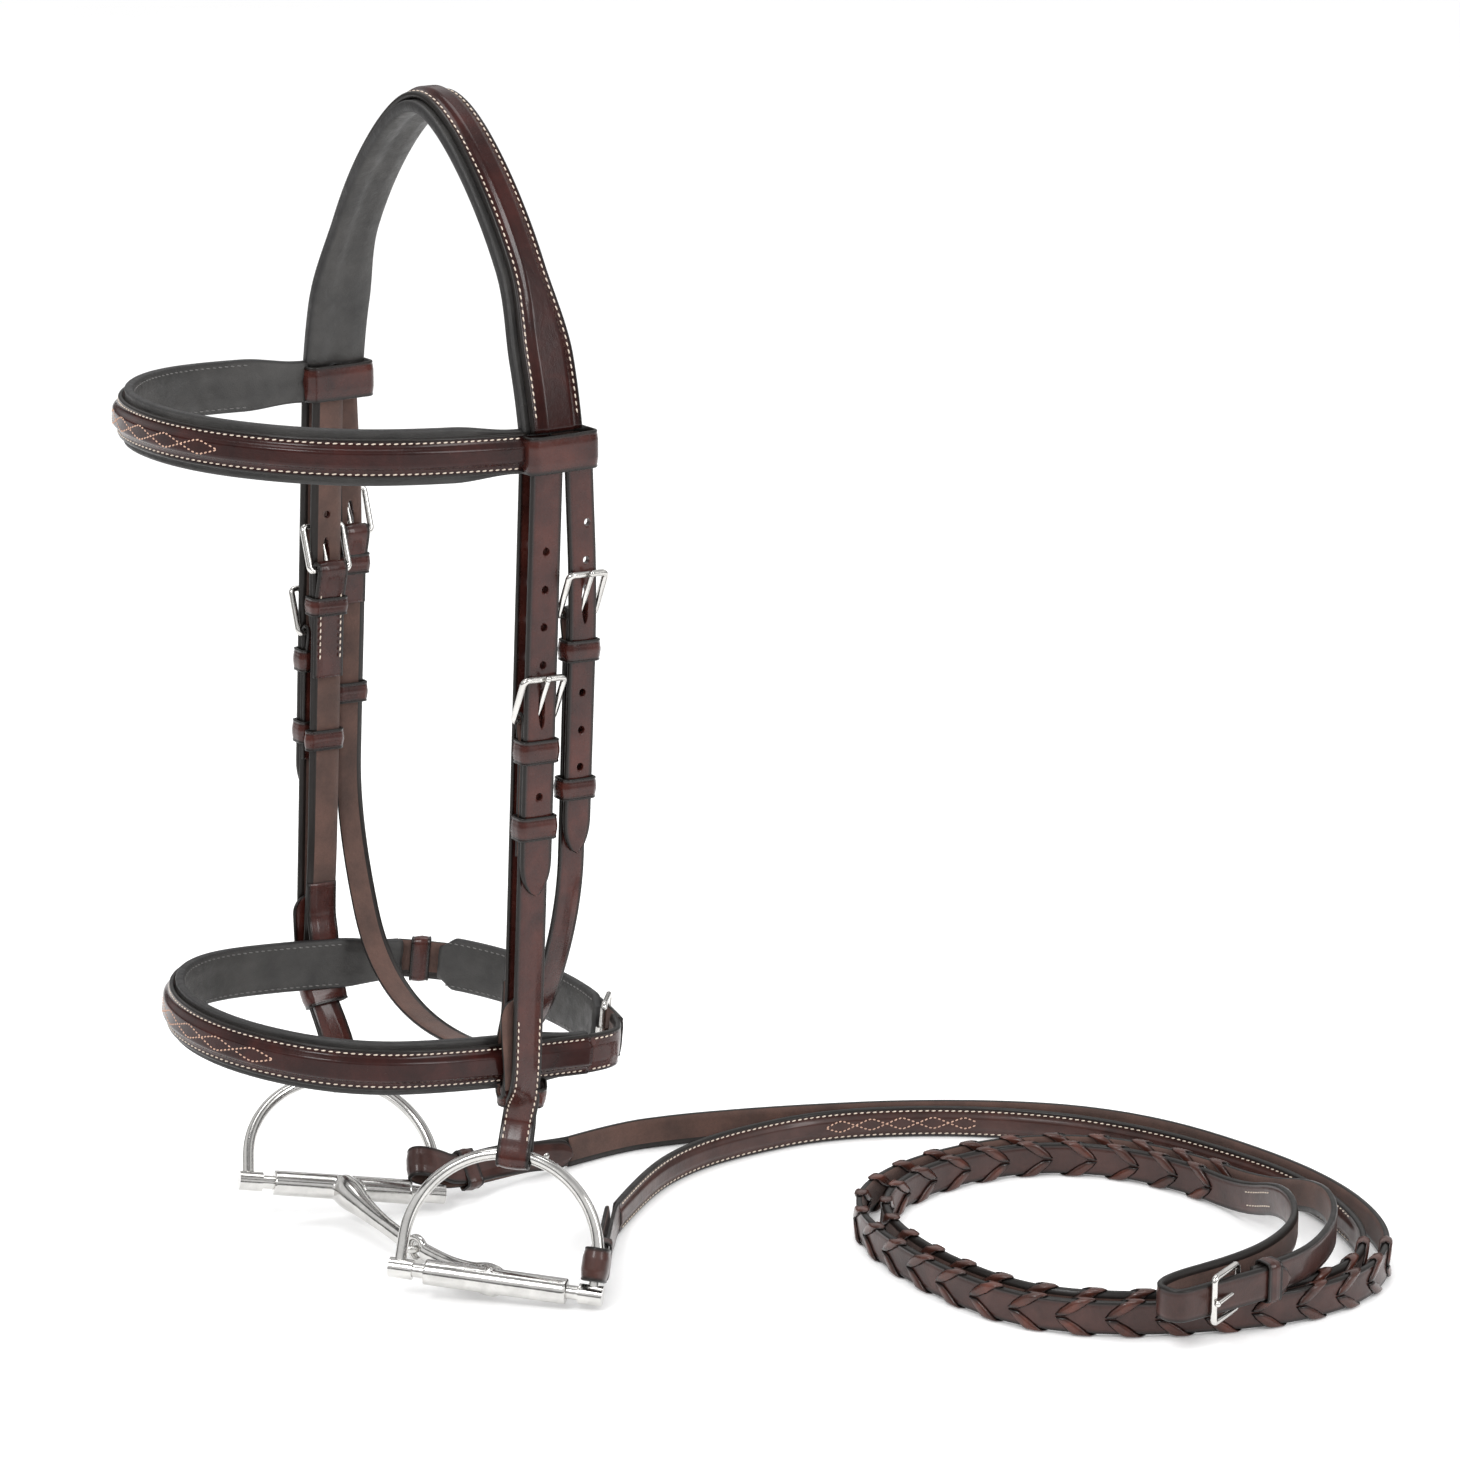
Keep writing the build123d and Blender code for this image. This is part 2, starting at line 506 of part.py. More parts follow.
def make_reins(near, off):
    coil = make_coil()
    flat_cord("near_rein", NEAR_REIN, 0, coil)
    flat_cord("off_rein", OFF_REIN, 0, coil)
    make_rein_end("near_rein_end", near, NEAR_REIN[0], NEAR_REIN[1])
    make_rein_end("off_rein_end", off, OFF_REIN[0], OFF_REIN[1])
    at_heel = Plane((*HAND_BUCKLE, COIL_TALL + STRAP / 2), x_dir=(1, 0, 0), z_dir=(0, -1, 0)).location
    flat_cord("off_rein_hand", HAND_OUTER, COIL_TALL, add=at_heel * heel_fold(STRAP, 7.5))
    flat_cord("near_rein_hand", HAND_INNER, COIL_TALL, add=at_heel * billet(STRAP, -38, 24, [-HOLE_PITCH]))
    save("rein_buckle", at_heel * buckle_frame(STRAP))
    report_axis("rein heel bar", at_heel * Pos(-HEEL_BACK, 0, 0), Vector(0, 1, 0))
    save("rein_tongue", at_heel * tongue(STRAP))
    save("rein_keeper", at_heel * strap_ring(-6.0, 1.8, STRAP / 2 + GAP, -20, -12, 1.4))


os.makedirs("parts", exist_ok=True)
make_headpiece()
make_browband()
make_noseband()
make_hangers()
make_throatlatch()
near_frame, off_frame = make_bit()
make_cheeks(near_frame, off_frame)
report_side_joints()
make_reins(near_frame, off_frame)
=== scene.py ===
import math

import bmesh
import bpy
from mathutils import Matrix, Vector


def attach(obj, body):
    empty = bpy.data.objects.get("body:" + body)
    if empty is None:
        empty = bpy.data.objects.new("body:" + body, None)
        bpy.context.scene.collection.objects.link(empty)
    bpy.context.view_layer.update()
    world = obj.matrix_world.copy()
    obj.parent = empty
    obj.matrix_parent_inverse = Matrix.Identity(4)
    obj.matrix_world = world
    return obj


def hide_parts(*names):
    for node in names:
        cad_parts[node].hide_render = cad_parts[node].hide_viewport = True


# Snaffle bridle: leather, padding, stitching, lacing and metal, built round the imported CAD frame.
# Lengths are in millimetres and heights are above the floor; at() turns them into the frame's metres.
# Materials, camera, floor and light are in metres.
# A strap has a route, a direction across it, and an outward face. In a strap's cross-section,
# u runs across the strap and v out of its face.

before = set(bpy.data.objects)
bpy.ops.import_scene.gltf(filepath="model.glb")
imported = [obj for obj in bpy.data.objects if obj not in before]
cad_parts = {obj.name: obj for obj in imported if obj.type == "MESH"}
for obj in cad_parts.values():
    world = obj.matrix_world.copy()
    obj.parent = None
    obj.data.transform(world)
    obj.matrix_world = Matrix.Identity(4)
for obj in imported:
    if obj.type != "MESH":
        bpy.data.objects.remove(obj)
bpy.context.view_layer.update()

MM = 0.001
POLL = 525.0                 # height of the frame's origin above the floor
STRAP = 16.0
THROAT_STRAP = 14.0
FOLD_LESS = 0.6              # the cheek straps and rein ends, folded round the dees, are narrower by this
BROW_HEIGHT = 389.0
BROW_RISE = -3.4             # degrees of tilt of the browband about the X axis
SIDE_LEAN = -2.6             # degrees of lean of the side straps, about the browband's height
NOSE_HEIGHT = 107.0
NOSE_Y = -20.0
NOSE_TILT = -6.4             # degrees of tilt of the noseband about the X axis, at NOSE_Y
# Buckled straps: x and y of the billet, and the height of the buckle's heel bar
CHEEK_X, CHEEK_Y, CHEEK_HEEL = 101.0, -4.0, 268.0
THROAT_X, THROAT_Y, THROAT_HEEL = 103.0, 15.8, 314.0
HANGER_X, HANGER_Y, HANGER_HEEL = 91.0, -4.0, 300.0
HEEL_BACK = 5.0              # a heel bar lies this far inside the billet's middle, towards the head
DEE_LENGTH = 90.0            # along its bar
# Each dee: the middle of its bar, then its turns in degrees about Z, X and Y
NEAR_BAR, NEAR_TURN, NEAR_TIP, NEAR_ROLL = (104.0, -38.0, 10.5), 48.0, -24.0, 5.0
OFF_BAR, OFF_TURN, OFF_TIP, OFF_ROLL = (-26.0, -43.0, 16.0), 78.0, -46.0, 13.0
MOUTH_JOINT = (42.0, -44.0, 8.0)
SLEEVE_RADIUS, SLEEVE_LENGTH = 5.9, 66.0
EYE_RADIUS, EYE_WIRE = 5.4, 1.85
EYE_BACK = 2.7               # each eye's middle lies this far back from the joint
CROWN_Y = 1.6
LOW_KEEPER = 86.0            # height of the keeper just above the bit
STITCH_PITCH = 3.2
LACE_PITCH = 22.0            # from one lacing hole to the next
REIN_MIDDLE = 8.0            # height of the reins' centreline where they lie on the floor
COIL_MIDDLE = 8.8            # the same on the coil, which rests on its lacing
HAND_MIDDLE = 25.0           # and where the hand parts lie on the coil
KEEPER_HALF = 8.4            # half the inside of a 16 mm strap's keeper, along the strap's width
KEEPER_CORNER = 1.1          # radius inside most keepers' corners
BILLET_TOP = 396.0
BILLET_TIP = 17.0            # length of a billet's pointed end
HOLE_RADIUS = 1.75
HOLE_PITCH = 17.0
HOLE_ABOVE = 26.0            # the first hole above the heel bar, which the tongue's slot leaves free
STRAP_TIP = 9.0              # and of the other straps' ends
SIDES = (("near", 1), ("off", -1))

# Routes: (x, height) for the crown, (x, y) for the bands and for the reins on the floor
CROWN_HALF = [(98, 397.5), (92, 435.5), (61, 490.5), (16, 532)]
BROW_HALF = [(97, -14), (97.5, -64), (78, -112), (31, -145)]
NOSE_HALF = [(84.5, 24.3), (88.5, -40), (78, -98), (29, -131)]
NEAR_ROUTE = [(64, 53), (35, 88), (17, 124), (12, 161), (16, 208), (40, 255), (72, 292), (106, 316),
              (150, 334)]
OFF_ROUTE = [(-24, 82), (-27, 113), (-21, 141), (-11, 169), (2, 200), (28, 252), (62, 298), (96, 327),
             (142, 346)]
NEAR_COIL = [(220, 344), (282, 327), (315, 295), (320, 250), (302, 204), (277, 167), (246, 145), (184, 140),
             (130, 156), (106, 199), (106, 252), (131, 290), (173, 309), (214, 311)]
OFF_COIL = [(224, 354), (288, 336), (324, 300), (330, 250), (312, 198), (285, 157), (250, 134), (181, 130),
            (121, 146), (95, 195), (96, 255), (123, 299), (170, 319), (214, 324)]
NEAR_HAND = [(255, 300), (285, 283), (303, 255), (311, 225), (311, 174), (329.5, 172), (329.5, 190),
             (329.5, 238)]
OFF_HAND = [(262, 317), (292, 300), (314, 272), (325.2, 245), (326.4, 219)]
REIN_LOOP = (329.5, 228.0)   # keeper next to the rein buckle, in plan
LACE_FROM, LACE_TO = (296, 324), (214, 322)      # where the lacing starts and ends, in plan
LACE_HALF = 4.3              # half the ribbon's width along the rein
LACE_THICK = 1.15
LACE_SLANT = 11.5            # an edge crossing lies this far behind its hole


# --- Places

def at(x, y, height):
    return Vector((x, y, height - POLL)) * MM


def tilted(x, y, height, y_pivot, height_pivot, degrees):
    """A place after a turn about an axis along X."""
    turn = math.radians(degrees)
    dy = y - y_pivot
    dz = height - height_pivot
    return at(x, y_pivot + dy * math.cos(turn) - dz * math.sin(turn),
              height_pivot + dy * math.sin(turn) + dz * math.cos(turn))


def leaned(x, y, height):
    return tilted(x, y, height, 0.0, BROW_HEIGHT, SIDE_LEAN)


def brow_place(x, y, rise=0.0):
    return tilted(x, y, BROW_HEIGHT + rise, 0.0, BROW_HEIGHT, BROW_RISE)


def nose_place(x, y, rise=0.0):
    return tilted(x, y, NOSE_HEIGHT + rise, NOSE_Y, NOSE_HEIGHT, NOSE_TILT)


def both_sides(half):
    """A route over the middle, from its near half."""
    return half + [(-x, other) for x, other in half[::-1]]


def about_x(degrees, vector):
    return Matrix.Rotation(math.radians(degrees), 3, "X") @ Vector(vector)


def dee_frame(bar, turn, tip, roll):
    """X along the dee's bar to its rear end, Z towards the top of its bow, in metres."""
    return (Matrix.Translation(at(*bar)) @ Matrix.Rotation(math.radians(turn), 4, "Z")
            @ Matrix.Rotation(math.radians(tip), 4, "X") @ Matrix.Rotation(math.radians(roll), 4, "Y"))


NEAR_DEE = dee_frame(NEAR_BAR, NEAR_TURN, NEAR_TIP, NEAR_ROLL)
OFF_DEE = dee_frame(OFF_BAR, OFF_TURN, OFF_TIP, OFF_ROLL)


def on_dee(dee, x, y, z):
    return dee @ (Vector((x, y, z)) * MM)


SIDE_ACROSS = about_x(SIDE_LEAN, (0, 1, 0))
BROW_DOWN = about_x(BROW_RISE, (0, 0, -1))
NOSE_DOWN = about_x(NOSE_TILT, (0, 0, -1))


# --- Routes and strips

def smooth(points, step=2.0, closed=False):
    """Evenly spaced points of the NURBS spline with these control points."""
    curve = bpy.data.curves.new("route", "CURVE")
    curve.dimensions = "3D"
    curve.resolution_u = 40
    spline = curve.splines.new("NURBS")
    spline.points.add(len(points) - 1)
    for knot, point in zip(spline.points, points):
        knot.co = (*point, 1.0)
    spline.use_cyclic_u = closed
    spline.order_u = 3
    spline.use_endpoint_u = not closed
    holder = bpy.data.objects.new("route", curve)
    mesh = bpy.data.meshes.new_from_object(holder)
    line = [v.co.copy() for v in mesh.vertices]
    if closed:
        line.append(line[0].copy())
    bpy.data.objects.remove(holder)
    bpy.data.curves.remove(curve)
    bpy.data.meshes.remove(mesh)
    return evenly(line, step * MM)


def evenly(line, step):
    """The same line with its points a step apart."""
    reach = [0.0]
    for a, b in zip(line, line[1:]):
        reach.append(reach[-1] + (b - a).length)
    count = max(2, round(reach[-1] / step))
    out = []
    k = 0
    for i in range(count + 1):
        goal = reach[-1] * i / count
        while k < len(line) - 2 and reach[k + 1] < goal:
            k += 1
        span = reach[k + 1] - reach[k]
        share = 0.0 if span == 0 else (goal - reach[k]) / span
        out.append(line[k].lerp(line[k + 1], share))
    return out


class Strip:
    """A route with, at each point, the directions along it, across the strap and out of its face."""

    def __init__(self, points, across, closed=False):
        self.closed = closed
        if closed:
            points = points[:-1]
        self.points = points
        count = len(points)
        self.along, self.across, self.out, self.reach = [], [], [], [0.0]
        for i, point in enumerate(points):
            before = points[i - 1] if closed or i else points[0]
            after = points[(i + 1) % count] if closed or i < count - 1 else points[-1]
            along = (after - before).normalized()
            wide = across(i / (count - 1)) if callable(across) else Vector(across)
            wide = (wide - along * wide.dot(along)).normalized()
            self.along.append(along)
            self.across.append(wide)
            self.out.append(along.cross(wide))
            if i:
                self.reach.append(self.reach[-1] + (point - points[i - 1]).length)
        self.length = self.reach[-1] / MM

    def spot(self, distance, u=0.0, v=0.0):
        """A place at a distance along the route, moved across by u and out by v, all in millimetres."""
        goal = max(0.0, min(distance, self.length)) / self.length * (len(self.points) - 1)
        i = min(int(goal), len(self.points) - 2)
        share = goal - i
        middle = self.points[i].lerp(self.points[i + 1], share)
        wide = self.across[i].lerp(self.across[i + 1], share)
        out = self.out[i].lerp(self.out[i + 1], share)
        return middle + wide * (u * MM) + out * (v * MM)

    def nearest(self, place):
        """Distance along the route of the point nearest to a place."""
        k = min(range(len(self.points)), key=lambda i: (self.points[i] - place).length)
        return self.reach[k] / MM


# --- Meshes

def ramp(value, low, high):
    share = min(1.0, max(0.0, (value - low) / (high - low)))
    return share * share * (3 - 2 * share)


def new_piece(name, vertices, faces, materials, indices=None, edge=None, shade=True):
    mesh = bpy.data.meshes.new(name)
    mesh.from_pydata([tuple(v) for v in vertices], [], faces)
    for material in materials:
        mesh.materials.append(material)
    if indices is not None:
        mesh.polygons.foreach_set("material_index", indices)
    mesh.polygons.foreach_set("use_smooth", [shade] * len(mesh.polygons))
    if edge is not None:
        layer = mesh.attributes.new("edge", "FLOAT", "POINT")
        layer.data.foreach_set("value", edge)
    mesh.update()
    piece = bpy.data.objects.new(name, mesh)
    bpy.context.collection.objects.link(piece)
    return piece


def sweep(name, strip, section, materials, width=None):
    """Carries a cross-section along a strip. section is a loop of (u, v, material, edge) or a function
    of the distance that gives one; width scales u by the distance."""
    vertices, faces, indices, edge = [], [], [], []
    sides = 0
    for i, point in enumerate(strip.points):
        distance = strip.reach[i] / MM
        loop = section(distance) if callable(section) else section
        sides = len(loop)
        scale = width(distance) if width else 1.0
        for u, v, _, darkening in loop:
            vertices.append(point + strip.across[i] * (u * scale * MM) + strip.out[i] * (v * MM))
            edge.append(darkening)
    rings = len(strip.points)
    spans = rings if strip.closed else rings - 1
    for i in range(spans):
        near = i * sides
        far = (i + 1) % rings * sides
        for k in range(sides):
            after = (k + 1) % sides
            faces.append((near + k, near + after, far + after, far + k))
            indices.append(loop[k][2])
    if not strip.closed:
        faces.append(tuple(range(sides))[::-1])
        faces.append(tuple(range((rings - 1) * sides, rings * sides)))
        indices += [1, 1]
    piece = new_piece(name, vertices, faces, materials, indices, edge)
    fix_normals(piece)
    return piece


def fix_normals(piece):
    work = bmesh.new()
    work.from_mesh(piece.data)
    bmesh.ops.recalc_face_normals(work, faces=work.faces)
    work.to_mesh(piece.data)
    work.free()


def strap_section(width, thick, raised=0.0, margin=3.4, crease=0.25, back=0.0):
    """Strap with round edges: a creased line inside each edge, and a raised middle if asked.
    v runs from back to back + thick."""
    half = width / 2
    round_edge = min(0.9, thick / 2.2)
    loop = []
    across = 22
    for k in range(across + 1):
        u = -half + round_edge + (width - 2 * round_edge) * k / across
        inset = half - abs(u)
        swell = raised * ramp(inset, margin, margin + 2.6)
        groove = crease * math.exp(-((inset - margin * 0.62) / 0.55) ** 2)
        darkening = 1 - ramp(inset, 0.6, 2.6)
        loop.append((u, back + thick + swell - groove, 0, darkening))

    def side(sign, turns):
        return [(sign * (half - round_edge + round_edge * math.cos(turn)),
                 back + thick / 2 + (thick / 2) * math.sin(turn), 1, 1.0) for turn in turns]
    eighth = math.pi / 4
    loop += side(1, (eighth, 0.0, -eighth))
    for k in range(1, 6):
        loop.append((half - round_edge - (width - 2 * round_edge) * k / 6, back, 2, 0.3))
    loop += side(-1, (-eighth, 0.0, eighth))
    return mark_edges(loop, half, round_edge)


def mark_edges(loop, half, round_edge):
    """Gives the segments at the two edges the edge material."""
    out = []
    for k, (u, v, kind, darkening) in enumerate(loop):
        nu = loop[(k + 1) % len(loop)][0]
        at_edge = abs(u) >= half - round_edge - 1e-6 and abs(nu) >= half - round_edge - 1e-6
        out.append((u, v, 1 if at_edge else kind, darkening))
    return out


def pad_section(width, thick, roll=0.9, groove=0.8, top=0.0):
    """Soft padding under a strap, with rolled edges and a lengthwise groove inside."""
    loop = []
    count = 36
    for k in range(count):
        turn = 2 * math.pi * k / count
        c, s = math.cos(turn), math.sin(turn)
        u = width / 2 * math.copysign(abs(c) ** 0.55, c)
        v = -thick / 2 + (thick / 2) * math.copysign(abs(s) ** 0.75, s)
        inset = 1 - abs(u) / (width / 2)
        if s < 0:
            v += groove * math.exp(-(u / (width * 0.09)) ** 2)
        v += roll * (1 - ramp(inset, 0.04, 0.22)) * (1 if s > 0 else -0.2)
        loop.append((u, v + top, 0, 1 - ramp(inset, 0.0, 0.15)))
    return loop


def capsules(name, pairs, radius, material):
    """Small round-ended rods between pairs of places, all in one mesh: a row of stitches."""
    vertices, faces = [], []
    sides = 6
    for a, b in pairs:
        along = b - a
        long = along.length
        if long == 0:
            continue
        along.normalize()
        side = along.orthogonal().normalized()
        other = along.cross(side)
        base = len(vertices)
        vertices.append(a)
        for share, size in ((0.16, 0.85), (0.5, 1.0), (0.84, 0.85)):
            for k in range(sides):
                turn = 2 * math.pi * k / sides
                out = side * math.cos(turn) + other * math.sin(turn)
                vertices.append(a.lerp(b, share) + out * radius * size * MM)
        vertices.append(b)
        for k in range(sides):
            after = (k + 1) % sides
            faces.append((base, base + 1 + after, base + 1 + k))
            for ring in (0, 1):
                near = base + 1 + ring * sides
                faces.append((near + k, near + after, near + sides + after, near + sides + k))
            last = base + 1 + 2 * sides
            faces.append((last + k, last + after, base + 1 + 3 * sides))
    return new_piece(name, vertices, faces, [material])


def stitch_pairs(strip, start, end, u, v, pitch=STITCH_PITCH):
    """Ends of the stitches of one row; u and v may be functions of the distance."""
    count = int((end - start) / pitch)
    pairs = []
    for k in range(count):
        here = start + (k + 0.18) * pitch
        there = here + pitch * 0.66
        low_u = u(here) if callable(u) else u
        high_u = u(there) if callable(u) else u
        lift = v(here) if callable(v) else v
        pairs.append((strip.spot(here, low_u - 0.12, lift), strip.spot(there, high_u + 0.12, lift)))
    return pairs


def rows(strip, start, end, offset, v, pitch=STITCH_PITCH):
    """Two rows, one on each side of the strip's middle."""
    left = stitch_pairs(strip, start, end, -offset, v, pitch)
    return left + stitch_pairs(strip, start, end, offset, v, pitch)


def diamonds(strip, start, end, height, v, count):
    """Fancy stitching: two waves that cross and make a row of diamonds."""
    long = (end - start) / count
    pairs = []
    for sign in (1, -1):
        def wave(distance):
            swing = math.sin(math.pi * (distance - start) / long)
            return sign * height * 1.04 * math.asin(0.96 * swing) / math.asin(0.96)
        pairs += stitch_pairs(strip, start, end, wave, v, 2.2)
    return pairs


def punch(piece, holes, radius, depth=12.0):
    """Cuts holes through along X: (place, height) pairs. A height above 2 * radius makes a slot."""
    cutters = []
    for place, height in holes:
        bpy.ops.mesh.primitive_cylinder_add(vertices=20, radius=radius * MM, depth=depth * MM,
                                            location=place)
        cutter = bpy.context.object
        cutter.rotation_euler = (0, math.pi / 2, 0)
        cutter.scale = (height / (2 * radius), 1, 1)
        cutters.append(cutter)
    cutter = joined(cutters)
    cut = piece.modifiers.new("holes", "BOOLEAN")
    cut.object = cutter
    cut.operation = "DIFFERENCE"
    cut.solver = "EXACT"
    apply_modifiers(piece)
    bpy.data.objects.remove(cutter)


def joined(pieces):
    bpy.ops.object.select_all(action="DESELECT")
    for piece in pieces:
        piece.select_set(True)
    bpy.context.view_layer.objects.active = pieces[0]
    bpy.ops.object.join()
    return bpy.context.object


def apply_modifiers(piece):
    graph = bpy.context.evaluated_depsgraph_get()
    mesh = bpy.data.meshes.new_from_object(piece.evaluated_get(graph), preserve_all_data_layers=True,
                                           depsgraph=graph)
    piece.modifiers.clear()
    piece.data = mesh


# --- Materials

def material(name):
    made = bpy.data.materials.new(name)
    made.use_nodes = True
    nodes = made.node_tree.nodes
    return made, nodes, made.node_tree.links, nodes["Principled BSDF"]


def set_inputs(node, **values):
    """Gives a node's own sockets their uniform values; an underscore stands for a space in a name."""
    for name, value in values.items():
        node.inputs[name.replace("_", " ")].default_value = value


def noise(nodes, links, scale, detail=4.0, rough=0.55, coords="Object", distort=0.0):
    place = nodes.new("ShaderNodeTexCoord")
    made = nodes.new("ShaderNodeTexNoise")
    set_inputs(made, Scale=scale, Detail=detail, Roughness=rough, Distortion=distort)
    links.new(place.outputs[coords], made.inputs["Vector"])
    return made.outputs["Fac"]


def colour_ramp(nodes, links, source, stops):
    made = nodes.new("ShaderNodeValToRGB")
    ramp_data = made.color_ramp
    ramp_data.elements[0].position, ramp_data.elements[0].color = stops[0][0], (*stops[0][1], 1)
    ramp_data.elements[1].position, ramp_data.elements[1].color = stops[-1][0], (*stops[-1][1], 1)
    for position, colour in stops[1:-1]:
        ramp_data.elements.new(position).color = (*colour, 1)
    links.new(source, made.inputs["Fac"])
    return made.outputs["Color"]


def to_range(nodes, links, source, low, high, source_low=0.3, source_high=0.7):
    made = nodes.new("ShaderNodeMapRange")
    set_inputs(made, From_Min=source_low, From_Max=source_high, To_Min=low, To_Max=high)
    links.new(source, made.inputs["Value"])
    return made.outputs["Result"]


def bump(nodes, links, height, strength, distance, normal=None):
    made = nodes.new("ShaderNodeBump")
    set_inputs(made, Strength=strength, Distance=distance)
    links.new(height, made.inputs["Height"])
    if normal is not None:
        links.new(normal, made.inputs["Normal"])
    return made.outputs["Normal"]


def pores(nodes, links, scale):
    place = nodes.new("ShaderNodeTexCoord")
    made = nodes.new("ShaderNodeTexVoronoi")
    set_inputs(made, Scale=scale, Randomness=1.0)
    links.new(place.outputs["Object"], made.inputs["Vector"])
    return made.outputs["Distance"]


def edge_darkened(nodes, links, colour, dark):
    """Mixes a dark colour in along a strap's edges, where the mesh attribute edge is 1; on the lacing this
    also paints shade where each arm goes into its hole.
    """
    darkening = nodes.new("ShaderNodeAttribute")
    darkening.attribute_name = "edge"
    mix = nodes.new("ShaderNodeMix")
    mix.data_type = "RGBA"
    links.new(darkening.outputs["Fac"], mix.inputs["Factor"])
    links.new(colour, mix.inputs["A"])
    mix.inputs["B"].default_value = (*dark, 1)
    return mix.outputs["Result"]


def grain_leather(name, stops, dark, rough_low, rough_high, coat, gloss=0.26):
    """Polished vegetable-tanned leather: uneven dye, fine pores, dark burnished edges."""
    made, nodes, links, shader = material(name)
    dye = noise(nodes, links, 55.0, 5.0, 0.6, distort=0.4)
    colour = colour_ramp(nodes, links, dye, stops)
    links.new(edge_darkened(nodes, links, colour, dark), shader.inputs["Base Color"])
    polish = noise(nodes, links, 140.0, 4.0)
    links.new(to_range(nodes, links, polish, rough_low, rough_high), shader.inputs["Roughness"])
    wrinkles = bump(nodes, links, noise(nodes, links, 420.0, 6.0, 0.62), 0.16, 0.0006)
    skin = bump(nodes, links, pores(nodes, links, 1500.0), 0.12, 0.0003, wrinkles)
    links.new(skin, shader.inputs["Normal"])
    set_inputs(shader, Coat_Weight=coat, Coat_Roughness=0.12, Specular_IOR_Level=gloss)
    return made


def flesh_leather(name, stops):
    """Undyed inner side of a strap: short fibres, no gloss."""
    made, nodes, links, shader = material(name)
    fibres = noise(nodes, links, 900.0, 6.0, 0.7, distort=1.2)
    patches = noise(nodes, links, 60.0, 4.0)
    colour = colour_ramp(nodes, links, patches, stops)
    mix = nodes.new("ShaderNodeMix")
    mix.data_type = "RGBA"
    mix.blend_type = "MULTIPLY"
    mix.inputs["Factor"].default_value = 0.55
    links.new(colour, mix.inputs["A"])
    fluff = colour_ramp(nodes, links, fibres, [(0.3, (0.45, 0.42, 0.4)), (0.7, (1.0, 1.0, 1.0))])
    links.new(fluff, mix.inputs["B"])
    links.new(mix.outputs["Result"], shader.inputs["Base Color"])
    set_inputs(shader, Roughness=0.78, Sheen_Weight=0.12)
    links.new(bump(nodes, links, fibres, 0.35, 0.0006), shader.inputs["Normal"])
    return made


def padding_leather(name):
    """Soft charcoal leather over foam: fine wrinkles and a dull sheen."""
    made, nodes, links, shader = material(name)
    tone = noise(nodes, links, 45.0, 4.0)
    stops = [(0.3, (0.022, 0.0212, 0.0204)), (0.7, (0.046, 0.0435, 0.041))]
    colour = colour_ramp(nodes, links, tone, stops)
    links.new(edge_darkened(nodes, links, colour, (0.012, 0.011, 0.011)), shader.inputs["Base Color"])
    links.new(to_range(nodes, links, noise(nodes, links, 160.0), 0.42, 0.62), shader.inputs["Roughness"])
    folds = bump(nodes, links, noise(nodes, links, 130.0, 5.0, 0.6, distort=1.5), 0.35, 0.0012)
    links.new(bump(nodes, links, pores(nodes, links, 1300.0), 0.22, 0.0003, folds), shader.inputs["Normal"])
    return made


def thread(name, light, shade):
    """Waxed thread: a twist along it, with painted shade in the twist's hollows."""
    made, nodes, links, shader = material(name)
    twist = noise(nodes, links, 1600.0, 2.0)
    # painted shade: the darker colour falls where the twist noise, which is also the bump's height, is low
    links.new(colour_ramp(nodes, links, twist, [(0.3, shade), (0.65, light)]), shader.inputs["Base Color"])
    shader.inputs["Roughness"].default_value = 0.7
    links.new(bump(nodes, links, twist, 0.3, 0.0002), shader.inputs["Normal"])
    return made


def polished_metal(name, tint, rough_low, rough_high):
    """Polished metal with faint wiping marks and a little tarnish."""
    made, nodes, links, shader = material(name)
    tarnish = noise(nodes, links, 70.0, 5.0, 0.6, distort=0.6)
    dull = tuple(c * 0.8 for c in tint)
    links.new(colour_ramp(nodes, links, tarnish, [(0.35, dull), (0.62, tint)]), shader.inputs["Base Color"])
    shader.inputs["Metallic"].default_value = 1.0
    marks = noise(nodes, links, 380.0, 6.0, 0.7)
    links.new(to_range(nodes, links, marks, rough_low, rough_high), shader.inputs["Roughness"])
    links.new(bump(nodes, links, marks, 0.05, 0.0002), shader.inputs["Normal"])
    return made


GRAIN = grain_leather(
    "bridle_leather",
    [(0.28, (0.021, 0.0056, 0.0045)), (0.5, (0.042, 0.0105, 0.0078)), (0.75, (0.072, 0.018, 0.0125))],
    (0.006, 0.004, 0.0035), 0.20, 0.34, 0.32)
BAND = grain_leather(
    "band_leather",
    [(0.28, (0.012, 0.0034, 0.0030)), (0.5, (0.023, 0.0060, 0.0050)), (0.75, (0.042, 0.0100, 0.0080))],
    (0.004, 0.003, 0.003), 0.16, 0.28, 0.20, 0.16)
EDGE = grain_leather(
    "burnished_edge", [(0.3, (0.007, 0.005, 0.0045)), (0.7, (0.018, 0.011, 0.009))],
    (0.008, 0.006, 0.005), 0.34, 0.5, 0.15)
FLESH = flesh_leather("flesh_side", [(0.3, (0.060, 0.030, 0.022)), (0.7, (0.115, 0.056, 0.041))])
REIN_GRAIN = grain_leather(
    "rein_leather",
    [(0.28, (0.021, 0.0088, 0.0072)), (0.5, (0.040, 0.016, 0.0128)), (0.75, (0.064, 0.026, 0.021))],
    (0.008, 0.0055, 0.005), 0.28, 0.42, 0.25)
LACE = grain_leather(
    "lace_leather",
    [(0.28, (0.030, 0.011, 0.008)), (0.5, (0.057, 0.0195, 0.0135)), (0.75, (0.12, 0.034, 0.021))],
    (0.006, 0.004, 0.0035), 0.22, 0.38, 0.3)
PADDING = padding_leather("padding_leather")
